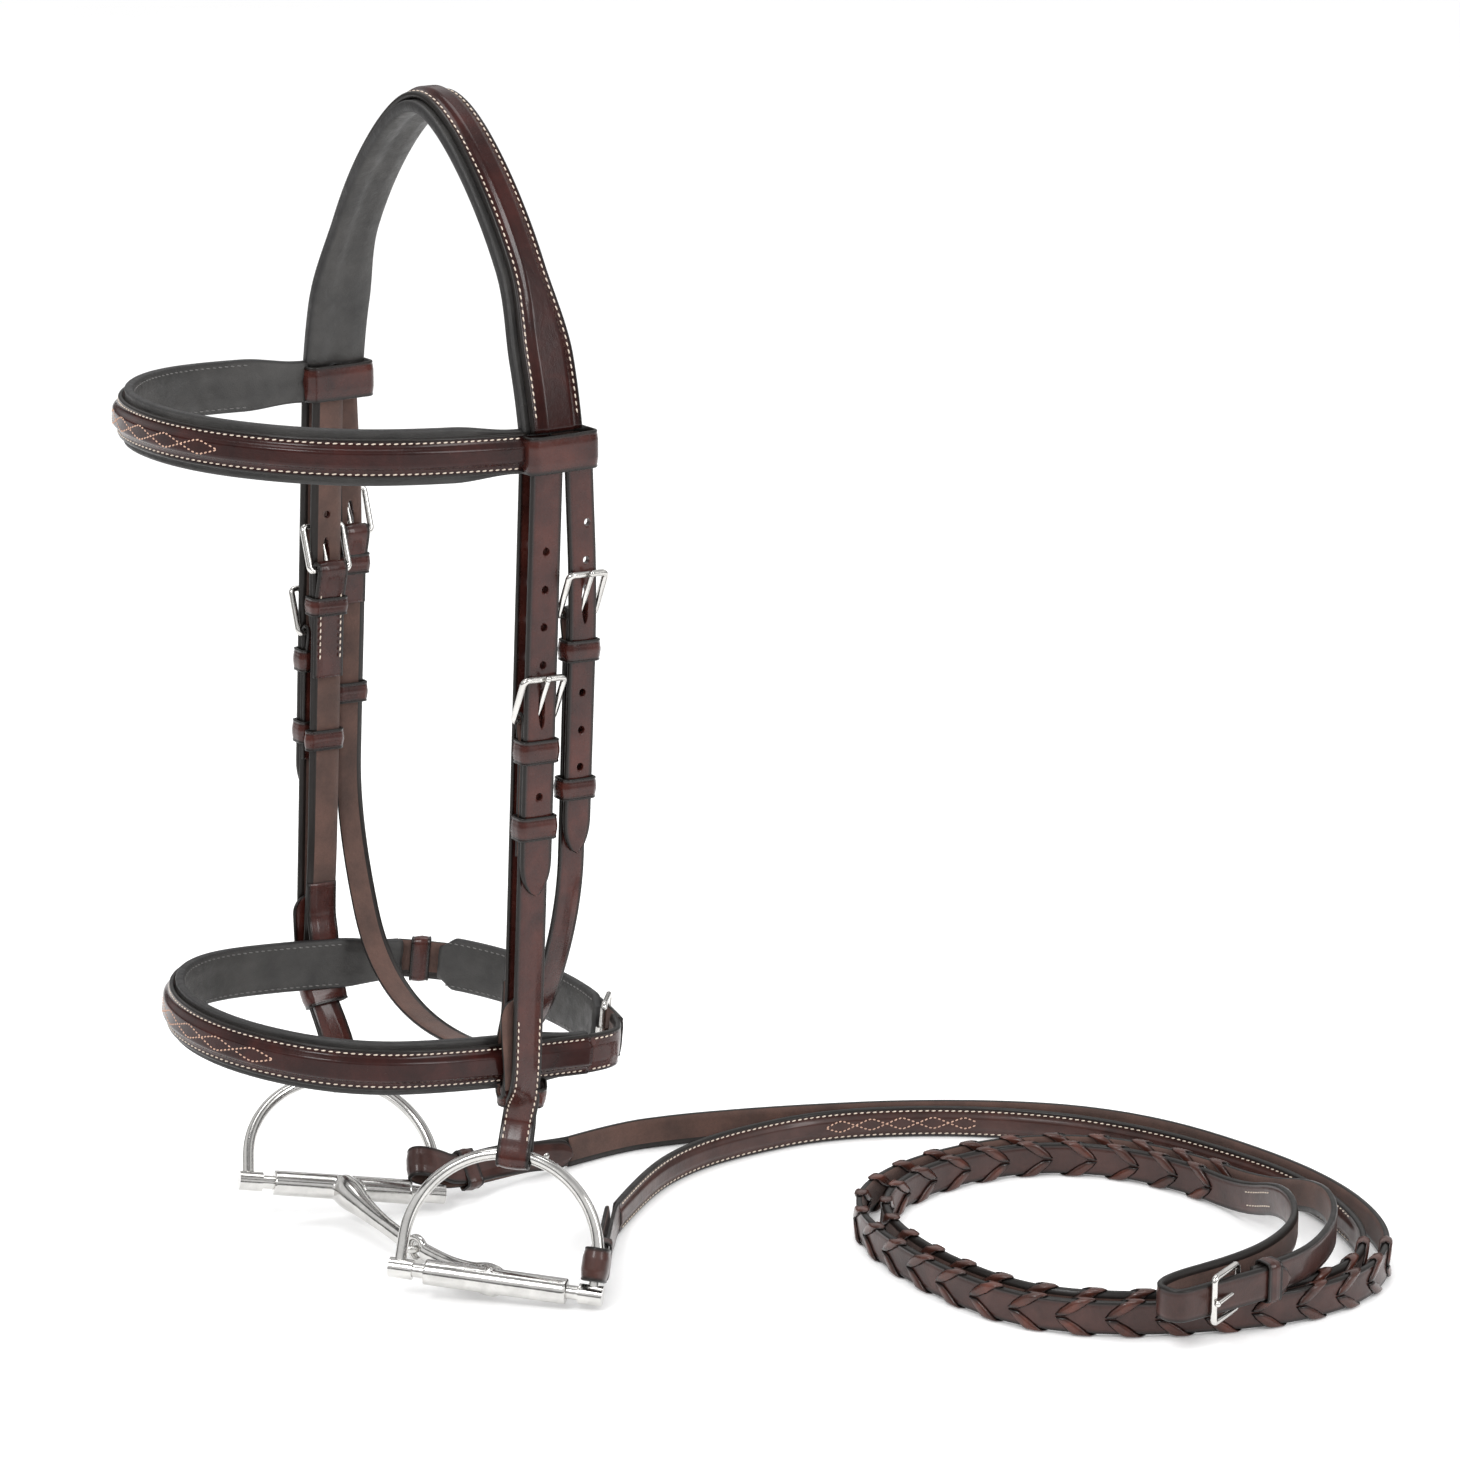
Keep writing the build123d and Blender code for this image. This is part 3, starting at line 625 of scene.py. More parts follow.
THREAD = thread("cream_thread", (0.72, 0.62, 0.52), (0.50, 0.41, 0.33))
FANCY = thread("fancy_thread", (0.62, 0.40, 0.30), (0.42, 0.25, 0.18))
PAD_THREAD = thread("grey_thread", (0.16, 0.155, 0.15), (0.09, 0.088, 0.085))
BIT_METAL = polished_metal("polished_steel", (0.66, 0.65, 0.63), 0.10, 0.22)
BUCKLE_METAL = polished_metal("polished_nickel", (0.68, 0.665, 0.64), 0.12, 0.26)
LEATHERS = [GRAIN, EDGE, FLESH]
BAND_LEATHERS = [BAND, EDGE, FLESH]
REIN_LEATHERS = [REIN_GRAIN, EDGE, FLESH]


# --- Putting pieces on the frame

def wear(piece, body="bridle", nodes=()):
    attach(piece, body)
    if nodes:
        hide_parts(*nodes)
    return piece


def padding(name, strip, section, width=None):
    piece = sweep(name + "_pad", strip, section, [PADDING, PADDING], width)
    wear(piece, nodes=[name + "_padding"])


def thread_on(name, pairs, material_used=None, radius=0.36):
    return wear(capsules(name, pairs, radius, material_used or THREAD))


# --- Camera, floor and light

def make_camera():
    data = bpy.data.cameras.new("camera")
    data.lens = 115.0
    data.sensor_width = 36.0
    camera = bpy.data.objects.new("camera", data)
    camera.location = (1.7881, -1.0659, 0.2869)
    camera.rotation_euler = (math.radians(74.61), 0.0, math.radians(55.52))
    bpy.context.collection.objects.link(camera)
    bpy.context.scene.camera = camera


def make_floor():
    made, nodes, links, shader = material("floor_paint")
    grain = noise(nodes, links, 3.0, 3.0)
    links.new(colour_ramp(nodes, links, grain, [(0.3, (0.90, 0.90, 0.90)), (0.7, (0.93, 0.93, 0.93))]),
              shader.inputs["Base Color"])
    set_inputs(shader, Roughness=0.45, Emission_Color=(1.0, 1.0, 1.0, 1.0), Emission_Strength=0.14)
    half = 14.0
    level = -POLL * MM - 0.0002
    corners = [(-half, -half, level), (half, -half, level), (half, half, level), (-half, half, level)]
    floor = new_piece("floor", corners, [(0, 1, 2, 3)], [made], shade=False)


def area_light(name, place, target, size, power):
    data = bpy.data.lights.new(name, "AREA")
    data.shape = "RECTANGLE"
    data.size, data.size_y = size
    data.energy = power
    light = bpy.data.objects.new(name, data)
    light.location = place
    light.rotation_euler = (Vector(target) - Vector(place)).to_track_quat("-Z", "Y").to_euler()
    bpy.context.collection.objects.link(light)


def make_light():
    world = bpy.data.worlds.new("studio")
    world.use_nodes = True
    nodes, links = world.node_tree.nodes, world.node_tree.links
    height = nodes.new("ShaderNodeSeparateXYZ")
    links.new(nodes.new("ShaderNodeTexCoord").outputs["Generated"], height.inputs["Vector"])
    bands = nodes.new("ShaderNodeValToRGB")
    half_up = nodes.new("ShaderNodeMath")
    half_up.operation = "MULTIPLY_ADD"
    half_up.inputs[1].default_value = 0.5
    half_up.inputs[2].default_value = 0.5
    links.new(height.outputs["Z"], half_up.inputs[0])
    links.new(half_up.outputs["Value"], bands.inputs["Fac"])
    levels = ((0.0, 0.7), (0.40, 0.6), (0.47, 0.05), (0.56, 0.08), (0.66, 0.85), (0.80, 0.95), (1.0, 0.35))
    while len(bands.color_ramp.elements) < len(levels):
        bands.color_ramp.elements.new(0.5)
    for element, (spot, level) in zip(bands.color_ramp.elements, levels):
        element.position = spot
        element.color = (level, level, level, 1.0)
    ray = nodes.new("ShaderNodeLightPath")
    choose = nodes.new("ShaderNodeMix")
    choose.data_type = "RGBA"
    choose.inputs["A"].default_value = (1.0, 1.0, 1.0, 1.0)
    links.new(ray.outputs["Is Glossy Ray"], choose.inputs["Factor"])
    links.new(bands.outputs["Color"], choose.inputs["B"])
    links.new(choose.outputs["Result"], nodes["Background"].inputs["Color"])
    nodes["Background"].inputs["Strength"].default_value = 1.0
    bpy.context.scene.world = world
    middle = (0.05, 0.05, -0.25)
    area_light("key", (1.1, -1.9, 1.9), middle, (0.9, 0.9), 34)
    area_light("side", (2.2, 0.9, 0.9), middle, (0.5, 1.6), 20)
    area_light("top", (-0.4, 0.2, 2.3), middle, (1.8, 1.2), 26)
    bpy.context.scene.view_settings.view_transform = "Standard"


# --- Headpiece: the crown with its padding, and the four billets that grow out of it

def make_crown():
    points = smooth([at(x, CROWN_Y, h) for x, h in both_sides(CROWN_HALF)])
    strip = Strip(points, (0, -1, 0))
    heights = [p.z / MM + POLL for p in points]

    def wide(distance):
        height = heights[min(len(heights) - 1, round(distance / strip.length * (len(heights) - 1)))]
        return 18.5 + 7.6 * (1 - ramp(height, 428.0, 468.0))

    def leather(distance):
        return strap_section(wide(distance), 3.4, raised=1.9, margin=3.6, back=0.1)

    def pad(distance):
        return pad_section(wide(distance) + 5.4, 6.8, roll=1.0, groove=2.0, top=0.2)

    wear(sweep("crown_strap", strip, leather, BAND_LEATHERS), nodes=["headpiece_leather"])
    padding("crown", strip, pad)
    start, end = 6.0, strip.length - 6.0
    pairs = stitch_pairs(strip, start, end, lambda s: wide(s) / 2 - 2.5, 3.55)
    pairs += stitch_pairs(strip, start, end, lambda s: 2.5 - wide(s) / 2, 3.55)
    thread_on("crown_stitches", pairs)


def tip_width(strip, tip):
    """Narrows a strap to a pointed tip over its last stretch."""
    def width(distance):
        share = min(1.0, max(0.0, strip.length - distance) / tip)
        return max(0.06, (1 - (1 - share) ** 2.2) ** 0.62)
    return width


def billet(name, x, y, top, tip, width, heel, holes, sign, swing=0.0):
    """Strap with punched holes and a pointed tip, lying through its buckle. swing carries its top
    forward."""
    route = [leaned(sign * x, y - swing, top), leaned(sign * x, y - swing * 0.75, (top * 3 + heel) / 4)]
    route += [leaned(sign * x, y, heel + 10), leaned(sign * x, y, (heel + tip) / 2), leaned(sign * x, y, tip)]
    strip = Strip(smooth(route, 1.5), SIDE_ACROSS * sign)
    section = strap_section(width, 2.9, raised=0.25, margin=2.6, crease=0.3, back=-1.45)
    piece = sweep(name, strip, section, LEATHERS, tip_width(strip, BILLET_TIP))
    spots = [(leaned(sign * x, y, heel + z), 2 * HOLE_RADIUS) for z in holes]
    spots.append((leaned(sign * x, y, heel + 6.2), 18.0))
    punch(piece, spots, HOLE_RADIUS)
    return wear(piece)


def below_bar(count):
    return [-HOLE_PITCH * k for k in range(1, count + 1)]


def above_bar(count):
    return [HOLE_ABOVE + HOLE_PITCH * k for k in range(count)]


def make_billets():
    for side, sign in SIDES:
        billet(side + "_cheek_billet", CHEEK_X, CHEEK_Y, BILLET_TOP, 188, STRAP, CHEEK_HEEL,
               below_bar(2) + above_bar(4), sign)
        billet(side + "_throat_billet", THROAT_X, THROAT_Y, BILLET_TOP, 206, THROAT_STRAP, THROAT_HEEL,
               below_bar(4) + above_bar(2), sign, swing=5.4)


# --- Browband and noseband

def padded_band(name, place, route, down, tall, pad_tall, fancy, bare):
    """Raised stitched band over rolled padding; fancy is the length of the diamond stitching in front."""
    strip = Strip(smooth([place(x, y) for x, y in route]), down)
    leather = strap_section(tall, 2.6, raised=2.4, margin=3.2, back=0.3)
    wear(sweep(name + "_strap", strip, leather, BAND_LEATHERS), nodes=[name + "_leather"])

    def taper(distance):
        return 0.80 + 0.20 * ramp(min(distance, strip.length - distance), 4.0, 34.0)

    plump = pad_section(pad_tall, 5.0, roll=1.1, groove=1.0, top=0.2)
    padding(name, strip, plump, taper)
    thread_on(name + "_stitches", rows(strip, bare, strip.length - bare, tall / 2 - 2.1, 2.75))
    inside = rows(strip, 30, strip.length - 30, pad_tall / 2 - 2.4, -4.35, 3.6)
    thread_on(name + "_pad_stitches", inside, PAD_THREAD, 0.3)
    middle = strip.length / 2
    pairs = diamonds(strip, middle - fancy / 2, middle + fancy / 2, 2.9, 5.2, 5)
    thread_on(name + "_fancy_stitches", pairs, FANCY, 0.4)


def rounded_ring(x0, x1, y0, y1, corner, place):
    """A rounded rectangle in plan, as an even closed line; place turns (x, y) into the frame."""
    line = []
    for cx, cy, start in ((x1 - corner, y1 - corner, 0), (x0 + corner, y1 - corner, 90),
                          (x0 + corner, y0 + corner, 180), (x1 - corner, y0 + corner, 270)):
        for k in range(7):
            turn = math.radians(start + 15 * k)
            line.append(place(cx + corner * math.cos(turn), cy + corner * math.sin(turn)))
    line.append(line[0].copy())
    return evenly(line, 1.2 * MM)


def ring_strap(name, ring, down, wide, thick, body="bridle", nodes=(),
               leathers=None):
    """Closed loop of strap, such as a keeper. The ring is its inner face."""
    strip = Strip(ring, -down, closed=True)
    section = strap_section(wide, thick, raised=0.3, margin=min(2.2, wide / 4), crease=0.22)
    return wear(sweep(name, strip, section, leathers or LEATHERS), body, nodes)


def make_browband():
    padded_band("browband", brow_place, both_sides(BROW_HALF), BROW_DOWN,
                tall=17.5, pad_tall=24.5, fancy=96.0, bare=3.0)
    for side, sign in SIDES:
        def place(x, y):
            return at(sign * x, y, BROW_HEIGHT)
        ring = rounded_ring(89.0, 105.6, -14.0, 18.4, 2.4, place)
        if sign < 0:
            ring = ring[::-1]
        ring_strap(side + "_brow_loop", ring, Vector((0, 0, -1)), 17.0, 1.7, nodes=[side + "_browband_loop"])


def make_noseband():
    padded_band("noseband", nose_place, both_sides(NOSE_HALF), NOSE_DOWN,
                tall=19.0, pad_tall=24.5, fancy=104.0, bare=3.0)
    make_jaw_strap()


# --- Jaw strap under the chin, with its pad, buckle chape and keeper

def make_jaw_strap():
    billet_route = [(-84.5, 24), (-69, 51), (-30, 67.5), (24, 67.5), (66, 53)]
    strip = Strip(smooth([nose_place(x, y) for x, y in billet_route]), NOSE_DOWN)
    strap = sweep("jaw_billet", strip, strap_section(19, 2.8, raised=0.25, margin=2.6), LEATHERS)
    wear(strap, nodes=["jaw_strap"])
    chape_route = [(84.5, 24), (82, 41), (68.5, 50.5), (58, 54.5)]
    chape = Strip(smooth([nose_place(x, y) for x, y in chape_route]), NOSE_DOWN * -1)
    wear(sweep("jaw_chape", chape, strap_section(18.5, 3.0, raised=0.3, back=-0.4), LEATHERS),
         nodes=["noseband_chape"])
    thread_on("jaw_chape_stitches", rows(chape, 2, 16, 7.2, 2.75))
    pad_route = [(-75, 43), (-66, 52), (-30, 66.5), (24, 66.5), (46, 59.5)]
    pad_strip = Strip(smooth([nose_place(x, y) for x, y in pad_route]), NOSE_DOWN)

    def plump(distance):
        end = min(distance, pad_strip.length - distance)
        return 0.62 + 0.38 * ramp(end, 0.0, 9.0)

    padding("jaw", pad_strip, pad_section(26, 6.0, roll=0.6, groove=0.4, top=-0.2), plump)
    inside = rows(pad_strip, 4, pad_strip.length - 4, 10.6, -5.6, 3.6)
    thread_on("jaw_pad_stitches", inside, PAD_THREAD, 0.3)
    turn = math.radians(55)

    def place(x, y):
        return nose_place(-80.6 - y * math.sin(turn), 34.5 + y * math.cos(turn), x)
    upright = rounded_ring(-9.8, 9.8, -2.0, 2.0, 1.2, place)
    forward = Vector((math.cos(turn), math.sin(turn), 0))
    ring_strap("jaw_keeper_loop", upright, forward, 9.5, 1.3, nodes=["jaw_keeper"])


# --- Side straps: keepers, cheekpieces, hangers and throatlatch

def strap_keeper(name, x, y, heel, low, high, half, sign, body="bridle", nodes=(), inner=-6.0,
                 outer=1.9):
    """Loop of thin leather round a strap and its billet, between two distances from the heel bar."""
    middle = heel + (low + high) / 2

    def place(px, py):
        return leaned(sign * (x + px), y + py, middle)
    ring = rounded_ring(inner, outer, -half, half, KEEPER_CORNER, place)
    if sign < 0:
        ring = ring[::-1]
    ring_strap(name, ring, about_x(SIDE_LEAN, (0, 0, -1)), high - low, 1.35, body, nodes)


def buckle_turn(x, heel, length):
    """Route of a strap end that comes up inside, turns round the heel bar and goes down outside."""
    bar = x - HEEL_BACK
    turn = [(bar + 0.4, heel - below) for below in (length, length * 0.6, 24, 15)]
    turn += [(bar - 1.6, heel - 7), (bar - 3.2, heel + 0.5)]
    turn += [(bar - 1.7, heel + 3.4), (bar + 1.5, heel + 3.4), (bar + 3.0, heel)]
    return turn + [(bar + 2.6, heel - 6), (bar + 2.45, heel - 14)]


def make_cheekpiece(side, sign, dee):
    """Cheekpiece: round the buckle's heel bar, down the cheek, round the dee's bow and up inside to a tip."""
    face = -sign
    places = [leaned(sign * x, CHEEK_Y, h) for x, h in buckle_turn(CHEEK_X, CHEEK_HEEL, 62)]
    places += [leaned(sign * 98.4, CHEEK_Y, h) for h in (200, 160, 125, 100)]
    fold_from = len(places) - 1
    bow_turn = [(2.2, 77), (3.2, 66), (4.6, 58), (3.4, 52.4), (-3.4, 52.4), (-4.6, 58)]
    bow_turn += [(-1.6, 66), (-0.8, 76)]
    places += [on_dee(dee, 0, face * y, z) for y, z in bow_turn]
    places += [leaned(sign * 95.2, CHEEK_Y - 2, 103), leaned(sign * 94.6, CHEEK_Y - 4, 122),
               leaned(sign * 94.6, CHEEK_Y - 5, 139)]
    points = smooth(places, 1.5)
    bar_axis = (dee.to_3x3() @ Vector((1, 0, 0))).normalized()
    low_from = places[fold_from].z
    low_to = places[fold_from + 1].z
    last = len(points) - 1

    def across(share):
        place = points[round(share * last)]
        twist = 1 - ramp(place.z, low_to, low_from)
        return (SIDE_ACROSS * (1 - twist) + bar_axis * twist) * sign

    strip = Strip(points, across)
    turned = strip.nearest(leaned(sign * (CHEEK_X - HEEL_BACK), CHEEK_Y, CHEEK_HEEL + 3))
    bottom = strip.nearest(on_dee(dee, 0, 0, 52))

    def section(distance):
        thin = distance < turned + 10 or distance > bottom - 12
        thick = 1.9 if thin else 2.3
        return strap_section(STRAP - FOLD_LESS, thick, raised=0.3, margin=2.6, crease=0.3, back=-1.0)

    piece = sweep(side + "_cheek_strap", strip, section, LEATHERS, tip_width(strip, STRAP_TIP))
    wear(piece, nodes=[side + "_cheekpiece"])
    thread_on(side + "_cheek_stitches", rows(strip, bottom - 78, bottom - 14, 5.6, 1.45))
    strap_keeper(side + "_cheek_fixed_loop", CHEEK_X, CHEEK_Y, CHEEK_HEEL, -19, -8, KEEPER_HALF, sign,
                 nodes=[side + "_cheek_keeper"])
    strap_keeper(side + "_cheek_runner_loop", CHEEK_X, CHEEK_Y, CHEEK_HEEL, -54, -43, KEEPER_HALF, sign,
                 side + "_cheek_slider", [side + "_cheek_runner"])
    middle = strip.nearest(leaned(sign * 98, CHEEK_Y, LOW_KEEPER))
    ring = rounded_ring(-7.4, -1.25, -9.6, 9.6, KEEPER_CORNER, lambda x, y: strip.spot(middle, y, x))
    ahead = (strip.spot(middle + 1) - strip.spot(middle)).normalized()
    ring_strap(side + "_cheek_low_loop", ring, ahead, 13.0, 1.2, nodes=[side + "_lower_keeper"])
    stud(side + "_cheek_stud", strip.spot(strip.length - 18, 0, 1.3), strip.out[-6])


def stud(name, place, out):
    """Small hook stud: a domed head."""
    bpy.ops.mesh.primitive_uv_sphere_add(segments=20, ring_count=10, radius=1.9 * MM, location=place)
    head = bpy.context.object
    head.scale = (1, 1, 0.55)
    head.rotation_euler = Vector(out).to_track_quat("Z", "Y").to_euler()
    head.name = name
    head.data.materials.append(BUCKLE_METAL)
    bpy.ops.object.shade_smooth()
    return wear(head)


def noseband_loop(x_sign, start):
    """Hanger's lower end: down outside the noseband, under it, up inside and back to the strap above it."""
    route = start + [(91.4, 112), (91.4, 96.5), (90.6, 91.6), (87.6, 90.4), (85.6, 92.2), (85.4, 98)]
    route += [(85.4, 112), (85.6, 119), (87.0, 124), (88.6, 129), (89.0, 135), (89.0, 146)]
    return [leaned(x_sign * x, HANGER_Y, h) for x, h in route]


def make_hangers():
    start = [(91.3, 395), (91.3, 300), (91.4, 200), (91.4, 140)]
    strip = Strip(smooth(noseband_loop(1, start), 1.5), SIDE_ACROSS)
    section = strap_section(STRAP, 2.2, raised=0.3, margin=2.6, back=-1.1)
    wear(sweep("near_hanger_strap", strip, section, LEATHERS), nodes=["near_noseband_hanger"])
    start = buckle_turn(HANGER_X, HANGER_HEEL, 52) + [(88.6, 270), (88.6, 200), (88.8, 155), (90.6, 132)]
    strip = Strip(smooth(noseband_loop(-1, start), 1.5), SIDE_ACROSS * -1)
    section = strap_section(STRAP, 2.0, raised=0.3, margin=2.6, back=-1.0)
    wear(sweep("off_hanger_strap", strip, section, LEATHERS), nodes=["off_noseband_hanger"])
    inner = Strip([leaned(-85.6, HANGER_Y, h) for h in range(296, 250, -2)], SIDE_ACROSS * -1)
    thread_on("off_hanger_stitches", rows(inner, 4, 40, 5.4, -1.1))
    point = billet("off_hanger_point", HANGER_X, HANGER_Y, 395, 262, STRAP, HANGER_HEEL,
                   above_bar(3) + below_bar(1), -1)
    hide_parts("off_hanger_billet")
    strap_keeper("off_hanger_loop", HANGER_X, HANGER_Y, HANGER_HEEL, -22, -13, KEEPER_HALF, -1,
                 nodes=["off_hanger_keeper"])
    strap_keeper("off_hanger_low_loop", 90.0, HANGER_Y, 0, 212, 222, 8.6, -1, inner=-2.8, outer=0.7)


def make_throatlatch():
    inner = THROAT_X - 3.7
    half = buckle_turn(THROAT_X, THROAT_HEEL, 34) + [(inner - 0.6, 285), (inner, 235), (inner, 172), (60, 91)]
    strip = Strip(smooth([leaned(x, THROAT_Y, h) for x, h in both_sides(half)], 1.8), SIDE_ACROSS)
    section = strap_section(THROAT_STRAP - 0.4, 2.1, raised=0.25, margin=2.4, crease=0.28, back=-1.0)
    wear(sweep("throat_strap", strip, section, LEATHERS), nodes=["throatlatch_strap"])
    for side, sign in SIDES:
        strap_keeper(side + "_throat_fixed_loop", THROAT_X, THROAT_Y, THROAT_HEEL, -20, -10, 7.4, sign,
                     nodes=[side + "_throat_keeper"])
        strap_keeper(side + "_throat_runner_loop", THROAT_X, THROAT_Y, THROAT_HEEL, -83, -73, 7.4, sign,
                     side + "_throat_slider", [side + "_throat_runner"])


# --- Bit: each cannon is a sleeve, a curved arm and an eye, melted together

def tube(place, axis, radius, length, sides=40):
    bpy.ops.mesh.primitive_cylinder_add(vertices=sides, radius=radius * MM, depth=length * MM, location=place)
    made = bpy.context.object
    made.rotation_euler = Vector(axis).to_track_quat("Z", "Y").to_euler()
    return made


def make_cannon(side, dee, eye_upright, body):
    joint = at(*MOUTH_JOINT)
    start = on_dee(dee, 0, 0, 0)
    axis = dee.to_3x3() @ Vector((1, 0, 0))
    reach = joint - start
    along = reach.normalized()
    pieces = [tube(start, axis, SLEEVE_RADIUS, SLEEVE_LENGTH)]
    end = joint - along * (EYE_BACK + EYE_RADIUS) * MM
    bow = Vector((0, 0, -1.2 * MM))
    line = smooth([start, start.lerp(end, 0.3) + bow, start.lerp(end, 0.7) + bow, end], 2.0)
    arm = Strip(line, (0, 0, 1))

    def section(distance):
        share = distance / arm.length
        tall = 6.6 - 2.6 * ramp(share, 0.0, 0.75) + 1.2 * math.exp(-((share - 0.12) / 0.14) ** 2)
        turns = [k * math.pi / 10 for k in range(20)]
        return [(tall * math.cos(turn), tall * 0.92 * math.sin(turn), 0, 0.0) for turn in turns]
    pieces.append(sweep(side + "_arm", arm, section, [BIT_METAL, BIT_METAL]))
    bpy.ops.mesh.primitive_torus_add(major_radius=EYE_RADIUS * MM, minor_radius=EYE_WIRE * MM,
                                     major_segments=48, minor_segments=20,
                                     location=joint - along * EYE_BACK * MM)
    eye = bpy.context.object
    flat = along.cross(Vector((0, 0, 1))) if eye_upright else Vector((0, 0, 1))
    eye.rotation_euler = flat.to_track_quat("Z", "Y").to_euler()
    pieces.append(eye)
    cannon = joined(pieces)
    bpy.ops.object.transform_apply(location=True, rotation=True, scale=True)
    melt = cannon.modifiers.new("melt", "REMESH")
    melt.mode = "VOXEL"
    melt.voxel_size = 0.00055
    relax = cannon.modifiers.new("relax", "SMOOTH")
    relax.iterations = 7
    relax.factor = 0.6
    apply_modifiers(cannon)
    cannon.name = side + "_mouth_half"
    cannon.data.materials.clear()
    cannon.data.materials.append(BIT_METAL)
    cannon.data.polygons.foreach_set("use_smooth", [True] * len(cannon.data.polygons))
    wear(cannon, body, [side + "_cannon"])


# --- Reins

def rein_section(plain_end):
    """The rein is raised in the middle as far as plain_end, and flat under the lacing."""
    def section(distance):
        raised = 1.1 * (1 - ramp(distance, plain_end, plain_end + 12))
        return strap_section(STRAP - 0.4, 3.4, raised=raised, margin=2.9, crease=0.3, back=-1.7)
    return section


def lacing(name, strip, start, end):
    """Thongs laced round the rein. From each hole two arms run back to the edges, turn over them and
    come forward to the hole again on the other face."""
    vertices, faces, edge = [], [], []
    profile = ((-LACE_HALF, 0.1, 1.0), (-LACE_HALF * 0.7, LACE_THICK, 0.2), (0.0, LACE_THICK * 1.15, 0.0),
               (LACE_HALF * 0.7, LACE_THICK, 0.2), (LACE_HALF, 0.1, 1.0), (0.0, -0.3, 1.0))
    sides = len(profile)
    steps = 16
    for k in range(int((end - start) / LACE_PITCH)):
        hole = start + (k + 1) * LACE_PITCH
        for arm_sign in (1, -1):
            first = len(vertices)
            for step in range(steps + 1):
                share = step / steps
                to_edge = 1 - abs(2 * share - 1)
                face = 1 if share < 0.5 else -1
                u = arm_sign * min(8.1, 0.6 + 9.4 * to_edge)
                over = ramp(to_edge, 0.80, 1.0)
                v = face * (1.75 - 0.25 * over) * (1 - over ** 2)
                for ahead, lift, darkening in profile:
                    narrow = 1 - 0.35 * (1 - ramp(to_edge, 0.0, 0.35))
                    here = hole - LACE_SLANT * to_edge + ahead * narrow
                    wide = u + arm_sign * lift * over * 0.55
                    vertices.append(strip.spot(here, wide, v + face * lift * (1 - over)))
                    # darkening: the ribbon's dark cut edges and underside from the profile, and painted shade
                    # where each arm goes into its hole
                    edge.append(max(darkening, 1 - ramp(to_edge, 0.0, 0.25)))
            for ring in range(steps):
                near = first + ring * sides
                for c in range(sides):
                    after = (c + 1) % sides
                    faces.append((near + c, near + after, near + sides + after, near + sides + c))
            faces.append(tuple(first + c for c in range(sides))[::-1])
            faces.append(tuple(first + steps * sides + c for c in range(sides)))
    piece = new_piece(name, vertices, faces, [LACE], None, edge)
    fix_normals(piece)
    return wear(piece)


def make_rein(side, flat_route, coil, hand, up, ends):
    """One rein: plain and raised from the bit, laced round the coil, and plain again to the buckle."""
    route = [at(x, y, REIN_MIDDLE) for x, y in flat_route]
    route += [at(x, y, COIL_MIDDLE) for x, y in coil]
    route += [at(x, y, HAND_MIDDLE) for x, y in hand]
    points = smooth(route, 2.0)
    strip = Strip(points, (0, 0, up))
    start = strip.nearest(at(*LACE_FROM, REIN_MIDDLE))
    halfway = [p for p in range(len(points)) if strip.reach[p] / MM > start + 300]
    goal = at(*LACE_TO, REIN_MIDDLE)
    finish = strip.reach[min(halfway, key=lambda p: (points[p] - goal).length)] / MM
    rein = sweep(side + "_rein_strap", strip, rein_section(start - 20), REIN_LEATHERS,
                 tip_width(strip, STRAP_TIP) if ends == "bare" else None)
    nodes = [side + "_rein", side + "_rein_hand"] + (["rein_coil"] if side == "off" else [])
    wear(rein, nodes=nodes)
    lace = lacing(side + "_rein_lacing", strip, start, finish)
    seams = thread_on(side + "_rein_stitches", rows(strip, 4, start - 22, 5.9, 1.72, 3.3))
    low_rows = rows(strip, finish + 8, finish + 34, 3.2, 1.78, 2.6)
    seams_low = thread_on(side + "_rein_hand_stitches", low_rows)
    fancy_rows = diamonds(strip, 168, 247, 2.7, 2.95, 5)
    fancy = thread_on(side + "_rein_fancy_stitches", fancy_rows, FANCY, 0.36)
    pieces = [lace, seams, seams_low, fancy]
    if ends == "fitting":
        pieces += [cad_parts["rein_buckle"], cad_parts["rein_tongue"]]
        pieces.append(bpy.data.objects["rein_loop"])
    tuple(points[0])
    [tuple(p) for p in points]


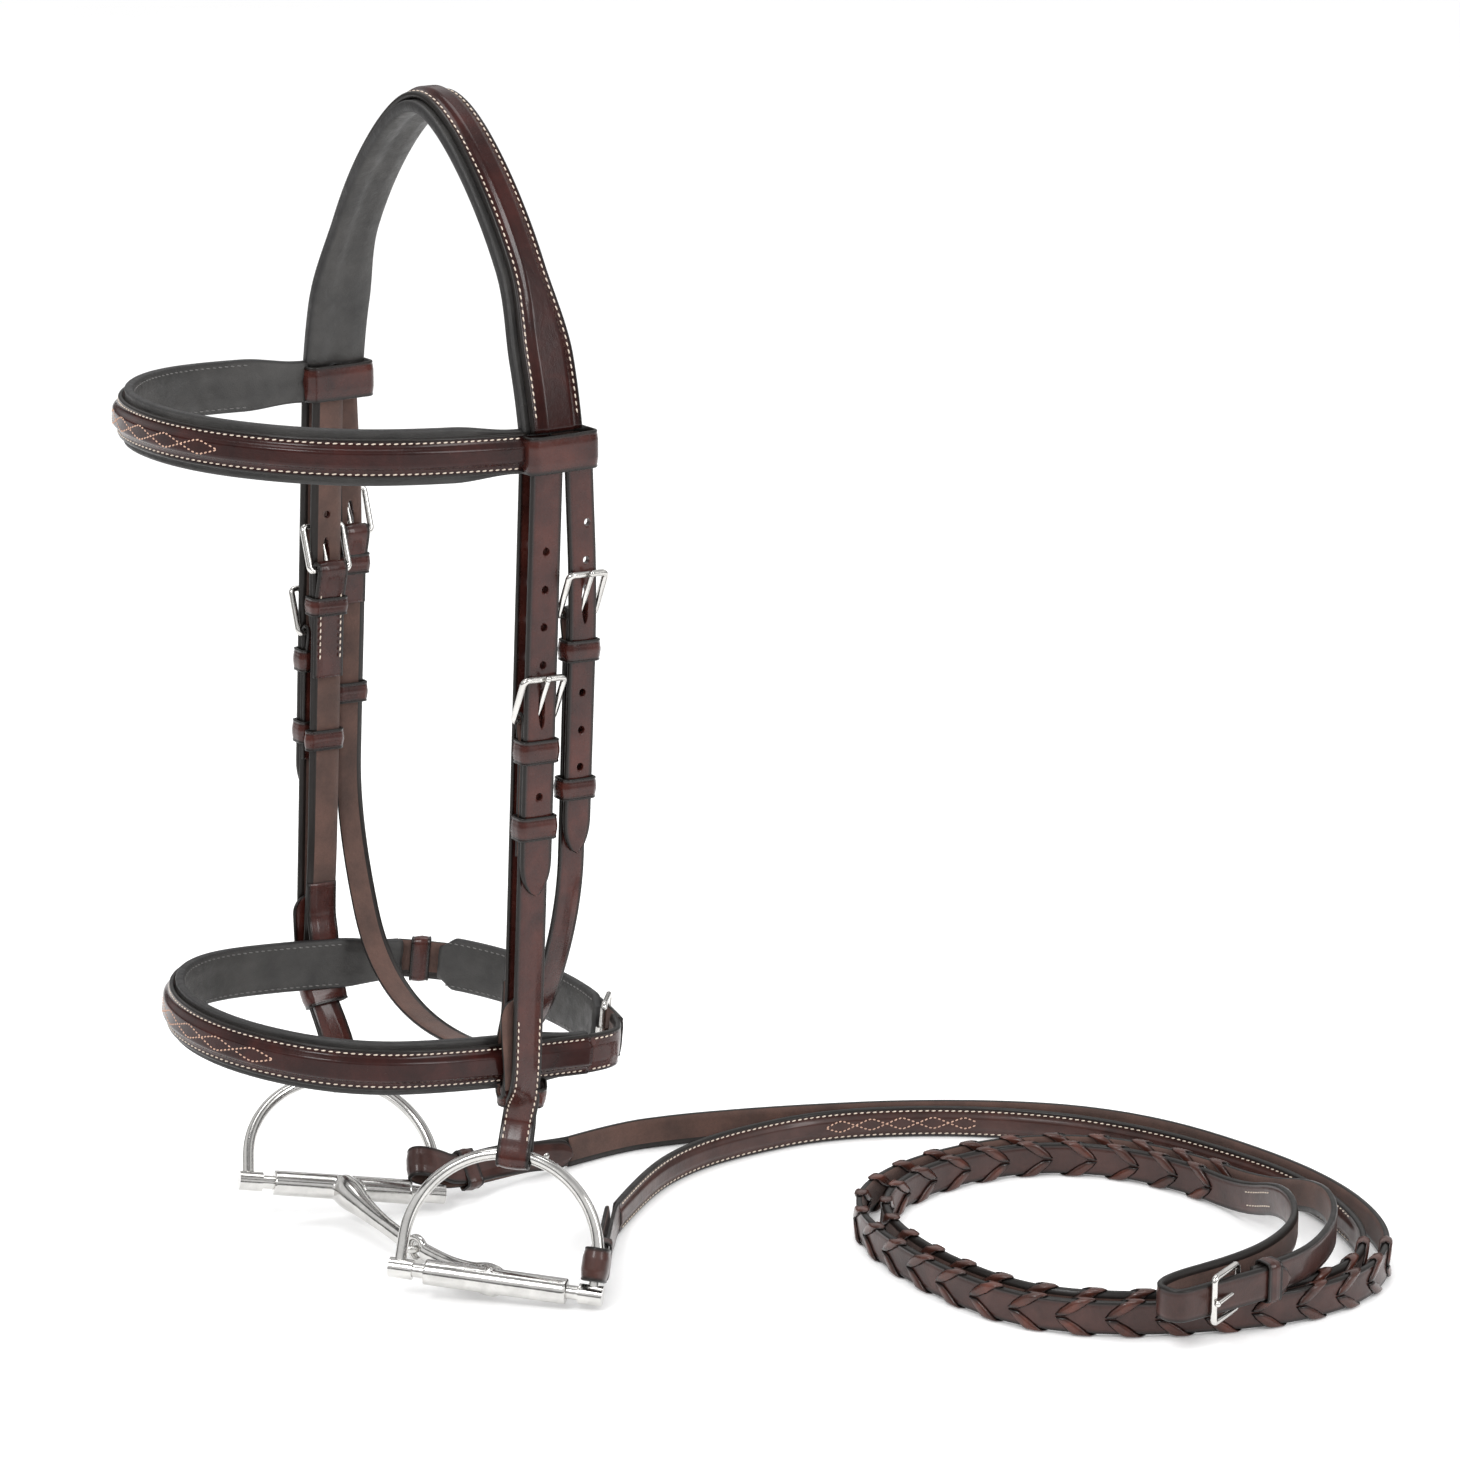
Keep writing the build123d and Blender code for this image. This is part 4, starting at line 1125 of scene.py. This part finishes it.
def make_rein_end(side, dee, flat_route, up):
    """End of a rein, folded round the dee's rear arm and laid back along the rein, with a loop round it."""
    arm = on_dee(dee, DEE_LENGTH / 2 - 0.4, 0, 13.6)
    arm_up = (dee.to_3x3() @ Vector((0, 0, 1))).normalized()
    goal = at(*flat_route[0], REIN_MIDDLE)
    beyond = at(*flat_route[1], REIN_MIDDLE)
    away = goal - arm
    away = (away - arm_up * away.dot(arm_up)).normalized()
    side_way = arm_up.cross(away) * up
    far = (goal - arm).length / MM
    run = (beyond - goal).normalized()
    run_side = Vector((0, 0, 1)).cross(run) * up

    def beside(ahead, out):
        return arm + away * ahead * MM + side_way * out * MM

    halfway = arm + (goal - arm) * 0.6
    outer = [goal + run * 6 * MM, goal, halfway - side_way * 1.3 * MM]
    outer += [beside(12, -2.0), beside(0, -5.2), beside(-12.5, -4.4)]
    outer += [beside(-12.5, 4.4), beside(0, 5.2), beside(12, 1.7)]
    outer += [halfway + side_way * 2.2 * MM, goal + run_side * 3.9 * MM]
    points = smooth(outer, 1.4)
    total = len(points) - 1
    flat = Vector((0, 0, 1))

    def across(share):
        place = points[round(share * total)]
        near_arm = 1 - ramp((place - arm).length / MM, 10.0, far * 0.8)
        return (flat * (1 - near_arm) + arm_up * near_arm) * -up

    strip = Strip(points, across)
    section = strap_section(STRAP - FOLD_LESS, 2.2, raised=0.4, margin=2.6, back=-1.1)
    wear(sweep(side + "_rein_fold", strip, section, REIN_LEATHERS, tip_width(strip, STRAP_TIP)),
         nodes=[side + "_rein_end"])
    middle = strip.nearest(beside(20, -2.0))
    lift = side_way * 1.9 * MM
    ring = rounded_ring(-3.4, 3.4, -8.5, 8.5, KEEPER_CORNER, lambda x, y: strip.spot(middle, y, x) + lift)
    ahead = (strip.spot(middle + 1) - strip.spot(middle)).normalized()
    ring_strap(side + "_rein_end_loop", ring, ahead, 9.0, 1.3,
               leathers=REIN_LEATHERS)
    stud(side + "_rein_stud", strip.spot(strip.length - 16, 0, 1.2), strip.out[-8])


def make_reins():
    ring = rounded_ring(-6.0, 1.9, -KEEPER_HALF, KEEPER_HALF, KEEPER_CORNER,
                        lambda x, y: at(REIN_LOOP[0] + x, REIN_LOOP[1], HAND_MIDDLE + y))
    ring_strap("rein_loop", ring, Vector((0, 1, 0)), 8.0, 1.3, nodes=["rein_keeper"],
               leathers=REIN_LEATHERS)
    make_rein("near", NEAR_ROUTE, NEAR_COIL, NEAR_HAND, 1, "bare")
    make_rein("off", OFF_ROUTE, OFF_COIL, OFF_HAND, -1, "fitting")
    make_rein_end("near", NEAR_DEE, NEAR_ROUTE, 1)
    make_rein_end("off", OFF_DEE, OFF_ROUTE, -1)


def dress_metal():
    """The metal nodes keep their CAD shapes and get polished materials."""
    for name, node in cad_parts.items():
        if node.hide_render:
            continue
        made = BIT_METAL if "dee" in name or "cannon" in name else BUCKLE_METAL
        for slot_place in node.material_slots:
            slot_place.material = made


make_camera()
make_floor()
make_light()
make_crown()
make_billets()
make_browband()
make_noseband()
make_hangers()
make_throatlatch()
make_cheekpiece("near", 1, NEAR_DEE)
make_cheekpiece("off", -1, OFF_DEE)
make_cannon("near", NEAR_DEE, True, "near_mouth")
make_cannon("off", OFF_DEE, False, "off_mouth")
make_reins()
dress_metal()
